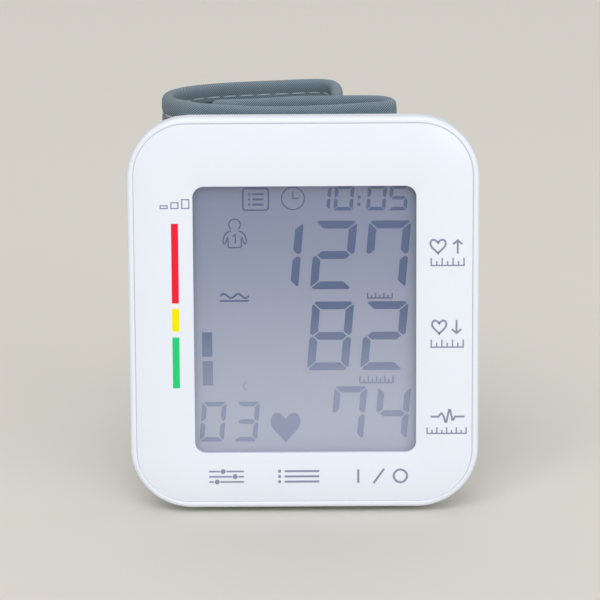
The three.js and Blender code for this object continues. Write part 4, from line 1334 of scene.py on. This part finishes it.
@dataclass
class Cuff:
    """Cloth band with its hems, lining, bladder, former, stitches and fastener patches."""

    height: float = 82.85
    half: float = 1.3
    cloth: float = 0.5
    hem: float = 4.0
    inner_hem: float = 2.95
    route: Route = field(default_factory=Route.whole)
    edge_round: float = 1.25
    left_joint: tuple[float, float] = (-29.2, 38.8)
    right_joint: tuple[float, float] = (19.4, 35.33)
    tail_from: float = 0.0

    def __post_init__(self) -> None:
        """Finds where the tail begins."""
        self.tail_from = self.route.distances[self.route.nearest(*self.right_joint)]

    def sections(self) -> list[Section]:
        """The wrap, the part on the case and the tail, as steps of the route.

        Returns:
            The sections, with the two plan points between which each one starts to move.
        """
        left, right = self.route.nearest(*self.left_joint), self.route.nearest(*self.right_joint)
        count = len(self.route.points) - 1
        return [
            Section("wrap", "cuff_wrap", 0, left, "cuff_wrap", (-29.0, 39.1), (-24.6, 46.8), -1),
            Section("base", "cuff_base", left, right, "case"),
            Section("tail", "cuff_tail", right, count, "cuff_tail", (18.9, 36.0), (15.0, 41.2), 1),
        ]

    def wave(self, distance: float, z: float) -> float:
        """Slight unevenness of the cloth, in millimetres outwards."""
        return 0.07 * math.sin(distance / 6.1 + z / 17) + 0.05 * math.sin(distance / 2.9 - z / 9)

    def outer(self, z: float, side: float = 1.0) -> float:
        """Distance of the cloth's skin from the centre line, with its round edges and seams.

        Args:
            z: height in millimetres.
            side: 1 for the outer side, -1 for the inner one.

        Returns:
            The distance in millimetres.
        """
        edge = min(z, self.height - z)
        if edge < self.edge_round:
            return self.half * math.sqrt(max(0.0, 1 - (1 - edge / self.edge_round) ** 2))
        seam = self.hem if side > 0 else self.inner_hem
        groove = 0.26 * math.exp(-(((edge - seam) / 0.5) ** 2))
        return self.half - groove + 0.08 * math.exp(-(((edge - 2.5) / 0.9) ** 2))

    def lift(self, distance: float, z: float, depth: float) -> float:
        """Rise of a point of the cloth: soft waves, and a loop that stands higher at its far side.

        Args:
            distance: way along the band in millimetres.
            z: height in millimetres.
            depth: depth of the centre line in millimetres.

        Returns:
            The rise in millimetres.
        """
        share = z / self.height
        tail = min(max((distance - self.tail_from) / 9.0, 0.0), 1.0)
        waves = 0.12 * math.sin(distance / 8.3 + 0.7) * (share * 2 - 1)
        far = (depth - Route.LOOP_FRONT) / Route.LOOP_DEPTH
        return waves + share * (0.5 * far + 0.3 * tail)

    def heights(self) -> list[float]:
        """Heights of the profile, finer at the hems.

        Returns:
            Heights in millimetres from the lower edge to the upper one.
        """
        low = [0.0, 0.08, 0.25, 0.5, 0.85, 1.25, 1.9, 2.5, 3.0, 3.4, 3.7, 4.0, 4.3, 4.7, 5.4]
        inner = [8.0 + 6.63 * index for index in range(11)]
        return low + inner + [self.height - z for z in reversed(low)]

    def cover_profile(self) -> Profile:
        """Section of the cloth cover: outer sheet with a hem folded over each edge.

        Returns:
            Distances outwards and heights in millimetres.
        """
        levels = self.heights()
        outer = [(self.outer(z), z) for z in levels]
        fold = self.hem + 0.15
        top = [(-self.outer(z, -1), z) for z in reversed(levels) if z > self.height - self.hem]
        low = [(-self.outer(z, -1), z) for z in reversed(levels) if z < self.hem]
        skin = self.half - self.cloth
        inner = [
            (-self.half + 0.15, self.height - fold + 0.1), (-self.half + 0.6, self.height - fold),
            (skin, self.height - fold), (skin, fold), (-self.half + 0.6, fold),
            (-self.half + 0.15, fold - 0.1),
        ]
        return outer + top[1:] + inner + low[:-1]

    def end_profile(self) -> Profile:
        """Full section of the hem that closes a free end.

        Returns:
            Distances outwards and heights in millimetres.
        """
        levels = self.heights()
        outer = [(self.outer(z), z) for z in levels]
        inner = [(-self.outer(z, -1), z) for z in reversed(levels)][1:-1]
        return outer + inner

    def slab_profile(self, low: float, high: float, inner: float, thick: float) -> Profile:
        """Section of a flat layer."""
        return [(inner, low), (inner + thick, low), (inner + thick, high), (inner, high)]

    def swept(
        self,
        mesh: bmesh.types.BMesh,
        route: Route,
        profile: Profile,
        steps: Sequence[int],
        squeeze: Callable[[int], float] = lambda index: 1.0,
        uneven: float = 1.0,
    ) -> None:
        """Sweeps a closed section along some steps of a route, with band coordinates.

        Args:
            mesh: the bmesh to add to.
            route: the centre line.
            profile: distances outwards and heights in millimetres.
            steps: the route's steps.
            squeeze: share of the full thickness at each step.
            uneven: share of the cloth's unevenness.
        """
        layer = mesh.loops.layers.uv.get("band") or mesh.loops.layers.uv.new("band")
        around = [0.0]
        for (o0, z0), (o1, z1) in zip(profile, [*profile[1:], profile[0]]):
            around.append(around[-1] + math.hypot(o1 - o0, z1 - z0))
        rings = []
        for index in steps:
            point, side = route.points[index], route.normal(index)
            distance, share = route.distances[index], squeeze(index)
            tall = 1 - 0.06 * (1 - share) ** 2
            ring = []
            for offset, level in profile:
                z = self.height / 2 + (level - self.height / 2) * tall
                out = offset * share + uneven * self.wave(distance, z)
                spot = point + side * out
                lift = uneven * self.lift(distance, z, point.y)
                ring.append(mesh.verts.new(place(spot.x, spot.y, z + lift)))
            rings.append((ring, distance))
        count = len(profile)
        for (ring, s0), (following, s1) in zip(rings, rings[1:]):
            for at in range(count):
                after = (at + 1) % count
                face = mesh.faces.new([ring[at], following[at], following[after], ring[after]])
                u0, u1 = around[at], around[at + 1]
                for loop, spot in zip(face.loops, ((s0, u0), (s1, u0), (s1, u1), (s0, u1))):
                    loop[layer].uv = spot
        for ring, turned in ((rings[0][0], False), (rings[-1][0], True)):
            mesh.faces.new(ring if turned else ring[::-1])
        bmesh.ops.recalc_face_normals(mesh, faces=mesh.faces)

    def end_steps(self, section: Section) -> tuple[list[int], list[int], Callable[[int], float]]:
        """Splits a section into its layered steps and the steps of its end hem.

        Args:
            section: the section.

        Returns:
            The layered steps, the hem's steps and the thickness at each step.
        """
        steps = list(range(section.first, section.last + 1))
        if section.free_end == 0:
            return steps, [], lambda index: 1.0
        span = self.route.distances[1]
        hem = round(self.hem / span)
        tip = section.last if section.free_end > 0 else section.first
        rounded = 1.3 if section.free_end < 0 else 4.0

        def thickness(index: int) -> float:
            """Rounds the wrap's end, and tapers the tail's end."""
            left = min(abs(index - tip) * span / rounded, 1.0)
            return 0.3 + 0.7 * math.sqrt(1 - (1 - left) ** 2)

        if section.free_end > 0:
            return steps[: -hem], steps[-hem - 1 :], thickness
        return steps[hem:], steps[: hem + 1], thickness

    def settled(self, piece: bpy.types.Object, section: Section) -> bpy.types.Object:
        """Takes a piece of the wrap or the tail off its body, or leaves a piece of the base on the
        case.

        Args:
            piece: the piece.
            section: its section.

        Returns:
            The piece.
        """
        if section.start is None or section.end is None:
            return piece
        piece.parent = None
        piece.matrix_world = Matrix.Identity(4)
        if "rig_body" in piece:
            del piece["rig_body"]
        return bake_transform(piece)

    def cover(self, section: Section) -> bpy.types.Object:
        """The cloth cover of a section with its closed end hem.

        Args:
            section: the section.

        Returns:
            The new piece, which replaces the CAD node.
        """
        mesh = bmesh.new()
        layered, hem, thickness = self.end_steps(section)
        self.swept(mesh, self.route, self.cover_profile(), layered)
        if hem:
            self.swept(mesh, self.route, self.end_profile(), hem, thickness)
        made = finished(mesh, f"{section.name}_cloth", CUFF_TWILL, section.body, 60.0)
        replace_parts(made, f"{section.node}_cloth")
        return self.settled(made, section)

    def layer(
        self, section: Section, name: str, node_name: str, slot: str, finish: Finish,
        inner: float, thick: float,
    ) -> bpy.types.Object:
        """One flat layer inside the cover of a section.

        Args:
            section: the section.
            name: the layer's part of the piece's name.
            node_name: the CAD node that it replaces.
            slot: the record's material slot; not used.
            finish: its finish.
            inner: its inner face, outwards from the centre line in millimetres.
            thick: its thickness in millimetres.

        Returns:
            The new piece.
        """
        mesh = bmesh.new()
        layered, _, _ = self.end_steps(section)
        low = self.hem + 0.3
        profile = self.slab_profile(low, self.height - low, inner, thick)
        self.swept(mesh, self.route, profile, layered, uneven=1.0)
        made = finished(mesh, f"{section.name}_{name}", finish, section.body, 60.0)
        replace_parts(made, node_name)
        return self.settled(made, section)

    def stitches(self, section: Section) -> bpy.types.Object:
        """Sewing thread along both hems, on both faces of the band, in step across the sections.

        Args:
            section: the section.

        Returns:
            The new piece.
        """
        mesh = bmesh.new()
        pitch, length, phase, margin = 4.0, 3.3, 1.93, 1.0
        distances = self.route.distances
        first, last = distances[section.first], distances[section.last]
        low = first + margin if section.free_end < 0 else first - length / 2
        high = last - margin if section.free_end > 0 else last + length / 2
        at = phase + pitch * math.ceil((low - phase) / pitch)
        while at + length < high:
            for side, seam in ((1.0, self.hem), (-1.0, self.inner_hem)):
                for z in (seam, self.height - seam):
                    self.stitch(mesh, at, length, z, side)
            at += pitch
        made = finished(mesh, f"{section.name}_stitches", THREAD, section.body, 60.0)
        return self.settled(made, section)

    def stitch(
        self, mesh: bmesh.types.BMesh, at: float, length: float, z: float, side: float
    ) -> None:
        """One stitch: a thin arched thread whose ends dip into the cloth.

        Args:
            mesh: the bmesh to add to.
            at: where it starts along the band, in millimetres.
            length: its length in millimetres.
            z: height of its seam in millimetres.
            side: 1 for the outer face, -1 for the inner one.
        """
        radius, steps, turns, rings = 0.19, 6, 6, []
        for step in range(steps + 1):
            share = step / steps
            distance = at + length * share
            index = min(
                range(len(self.route.points)), key=lambda i: abs(self.route.distances[i] - distance)
            )
            point, normal = self.route.points[index], self.route.normal(index)
            arch = 0.26 * math.sin(math.pi * share) - 0.16
            out = side * (self.outer(z, side) + arch) + self.wave(distance, z)
            lift = self.lift(distance, z, point.y)
            before = self.route.points[max(index - 1, 0)]
            along = (point - before).normalized() if index else Vector((normal.y, -normal.x)) * -1
            middle = point + normal * out + along * (distance - self.route.distances[index])
            ring = []
            for turn in range(turns):
                angle = turn / turns * 2 * math.pi
                spot = middle + normal * (radius * math.cos(angle))
                level = z + lift + radius * math.sin(angle)
                ring.append(mesh.verts.new(place(spot.x, spot.y, level)))
            rings.append(ring)
        for ring, following in zip(rings, rings[1:]):
            for turn in range(turns):
                after = (turn + 1) % turns
                mesh.faces.new([ring[turn], following[turn], following[after], ring[after]])
        mesh.faces.new(rings[0][::-1])
        mesh.faces.new(rings[-1])

    def patches(self, tail: Section, wrap: Section) -> None:
        """Hook patch at the wrap's end and loop patch on the tail's outer face.

        Args:
            tail: the tail's section.
            wrap: the wrap's section.
        """
        hook_height, loop_height, loop_share = 50.0, 60.0, 0.7
        hook = Route(Route.on_loop(Route.HOOK), 0.6)
        mesh = bmesh.new()
        steps = list(range(len(hook.points)))
        tip = steps[-1]

        def rounded(index: int) -> float:
            """Thins the patch towards both ends."""
            return 0.55 if index in (0, tip) else 1.0

        profile = self.edged_profile((self.height - hook_height) / 2, 0.5)
        self.swept(mesh, hook, profile, steps, rounded, 0.0)
        made = finished(mesh, "hook_tape", TAPE_NAP, wrap.body, 60.0)
        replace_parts(made, "hook_patch")
        mesh = bmesh.new()
        covered = round((tail.last - tail.first) * loop_share)
        steps = list(range(tail.first, tail.first + covered + 1))
        low = (self.height - loop_height) / 2
        inner = self.half + 0.08
        profile = [
            (inner, low), (inner + 0.2, low), (inner + 0.34, low + 0.25),
            (inner + 0.34, self.height - low - 0.25), (inner + 0.2, self.height - low),
            (inner, self.height - low),
        ]
        self.swept(mesh, self.route, profile, steps)
        made = finished(mesh, "loop_tape", TAPE_NAP, tail.body, 60.0)
        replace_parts(made, "loop_patch")
        self.settled(made, tail)

    def edged_profile(self, low: float, half: float) -> Profile:
        """Section of a patch with rounded edges.

        Args:
            low: height of its lower edge in millimetres.
            half: half its thickness in millimetres.

        Returns:
            Distances outwards and heights in millimetres.
        """
        high = self.height - low
        right = [(half * 0.6, low), (half, low + 0.3), (half, high - 0.3), (half * 0.6, high)]
        return right + [(-x, z) for x, z in reversed(right)]

    def build(self) -> None:
        """Adds every piece of the cuff."""
        sections = self.sections()
        skin = -self.half
        for section in sections:
            self.cover(section)
            self.stitches(section)
            stem = section.node
            self.layer(section, "lining", f"{stem}_lining", "cuff_lining", LINING_TWILL, skin, 0.6)
            if section.name != "tail":
                self.layer(
                    section, "bladder", f"{stem}_bladder", "bladder_rubber", BLADDER_FILM,
                    skin + 0.7, 0.5,
                )
            core = "pad" if section.name == "tail" else "former"
            self.layer(
                section, core, f"{stem}_{core}", "former_plastic", FORMER_SHEET, skin + 1.3, 0.7,
            )
        self.patches(sections[2], sections[0])


@dataclass(frozen=True)
class Lamp:
    """A soft rectangular light: place and target in metres, size, power and colour."""

    name: str
    at: tuple[float, float, float]
    target: tuple[float, float, float]
    size: tuple[float, float]
    power: float
    colour: str = "FFFFFF"


@dataclass
class Studio:
    """Pale table, soft lights and the camera at the photograph's angle, for a 600 x 600 picture."""

    pitch: float = 14.0
    distance_mm: float = 865.0
    lens: float = 242.7
    target_z: float = 43.9
    roll: float = 0.3
    shift_px: tuple[float, float] = (-3.7, 10.7)
    picture_px: float = 600.0
    table_drop_mm: float = 1.2
    world_strength: float = 0.46
    lamps: tuple[Lamp, ...] = (
        Lamp("key", (-0.4, -2.2, 2.3), (0.0, 0.0, 0.04), (2.0, 2.0), 43.0, "FFFFFF"),
        Lamp("fill", (1.1, -1.9, 0.6), (0.0, 0.0, 0.04), (1.6, 1.0), 13.5, "FAFCFF"),
        Lamp("back", (0.0, 1.3, 1.8), (0.0, 0.6, 0.0), (2.0, 2.0), 9.0, "FFFFFF"),
    )

    def floor(self) -> None:
        """A wide pale table that fills the picture."""
        mesh = bmesh.new()
        bmesh.ops.create_grid(mesh, x_segments=2, y_segments=2, size=6.0)
        data = bpy.data.meshes.new("table")
        mesh.to_mesh(data)
        mesh.free()
        made = bpy.data.objects.new("table", data)
        bpy.context.collection.objects.link(made)
        made.location.z = -self.table_drop_mm * MM
        made.data.materials.append(TABLE_PAINT.material())

    def lights(self) -> None:
        """The area lights and a faint world light."""
        for lamp in self.lamps:
            data = bpy.data.lights.new(lamp.name, "AREA")
            data.shape = "RECTANGLE"
            data.size, data.size_y = lamp.size
            data.energy = lamp.power
            data.color = linear(lamp.colour)[:3]
            made = bpy.data.objects.new(lamp.name, data)
            bpy.context.collection.objects.link(made)
            made.location = lamp.at
            aim = Vector(lamp.target) - Vector(lamp.at)
            made.rotation_euler = aim.to_track_quat("-Z", "Y").to_euler()
        world = bpy.context.scene.world or bpy.data.worlds.new("studio")
        bpy.context.scene.world = world
        world.use_nodes = True
        shade = next(n for n in world.node_tree.nodes if n.type == "BACKGROUND")
        shade.inputs["Color"].default_value = linear("FFFFFF")
        shade.inputs["Strength"].default_value = self.world_strength

    def camera(self) -> None:
        """The camera, 14 degrees above the display, with a small shift and roll."""
        data = bpy.data.cameras.new("camera")
        data.sensor_width, data.lens = 36.0, self.lens
        data.shift_x, data.shift_y = (shift / self.picture_px for shift in self.shift_px)
        data.clip_start, data.clip_end = 0.01, 20.0
        made = bpy.data.objects.new("camera", data)
        bpy.context.collection.objects.link(made)
        tilt = math.radians(self.pitch)
        target = place(0.0, 0.0, self.target_z)
        back = Vector((0.0, -math.cos(tilt), math.sin(tilt)))
        made.location = target + back * self.distance_mm * MM
        turn = (-back).to_track_quat("-Z", "Y")
        spin = Matrix.Rotation(math.radians(-self.roll), 4, "Z")
        made.rotation_mode = "QUATERNION"
        made.rotation_quaternion = (turn.to_matrix().to_4x4() @ spin).to_quaternion()
        bpy.context.scene.camera = made

    def build(self) -> None:
        """Sets the table, lights, camera and the view transform."""
        self.floor()
        self.lights()
        self.camera()
        bpy.context.scene.view_settings.view_transform = "Standard"


def main() -> None:
    """Builds the dressed monitor and its studio."""
    logging.basicConfig(level=logging.INFO, format="%(name)s: %(message)s")
    for assembly in (FrontShell(), Prints(), Screen(), Housing(), Inside(), Cuff(), Studio()):
        known = {piece.name for piece in bpy.data.objects}
        assembly.build()
        for piece in bpy.data.objects:
            if piece.name not in known:
                log.info("%s: %s", type(assembly).__name__, piece.name)


if __name__ == "__main__":
    main()
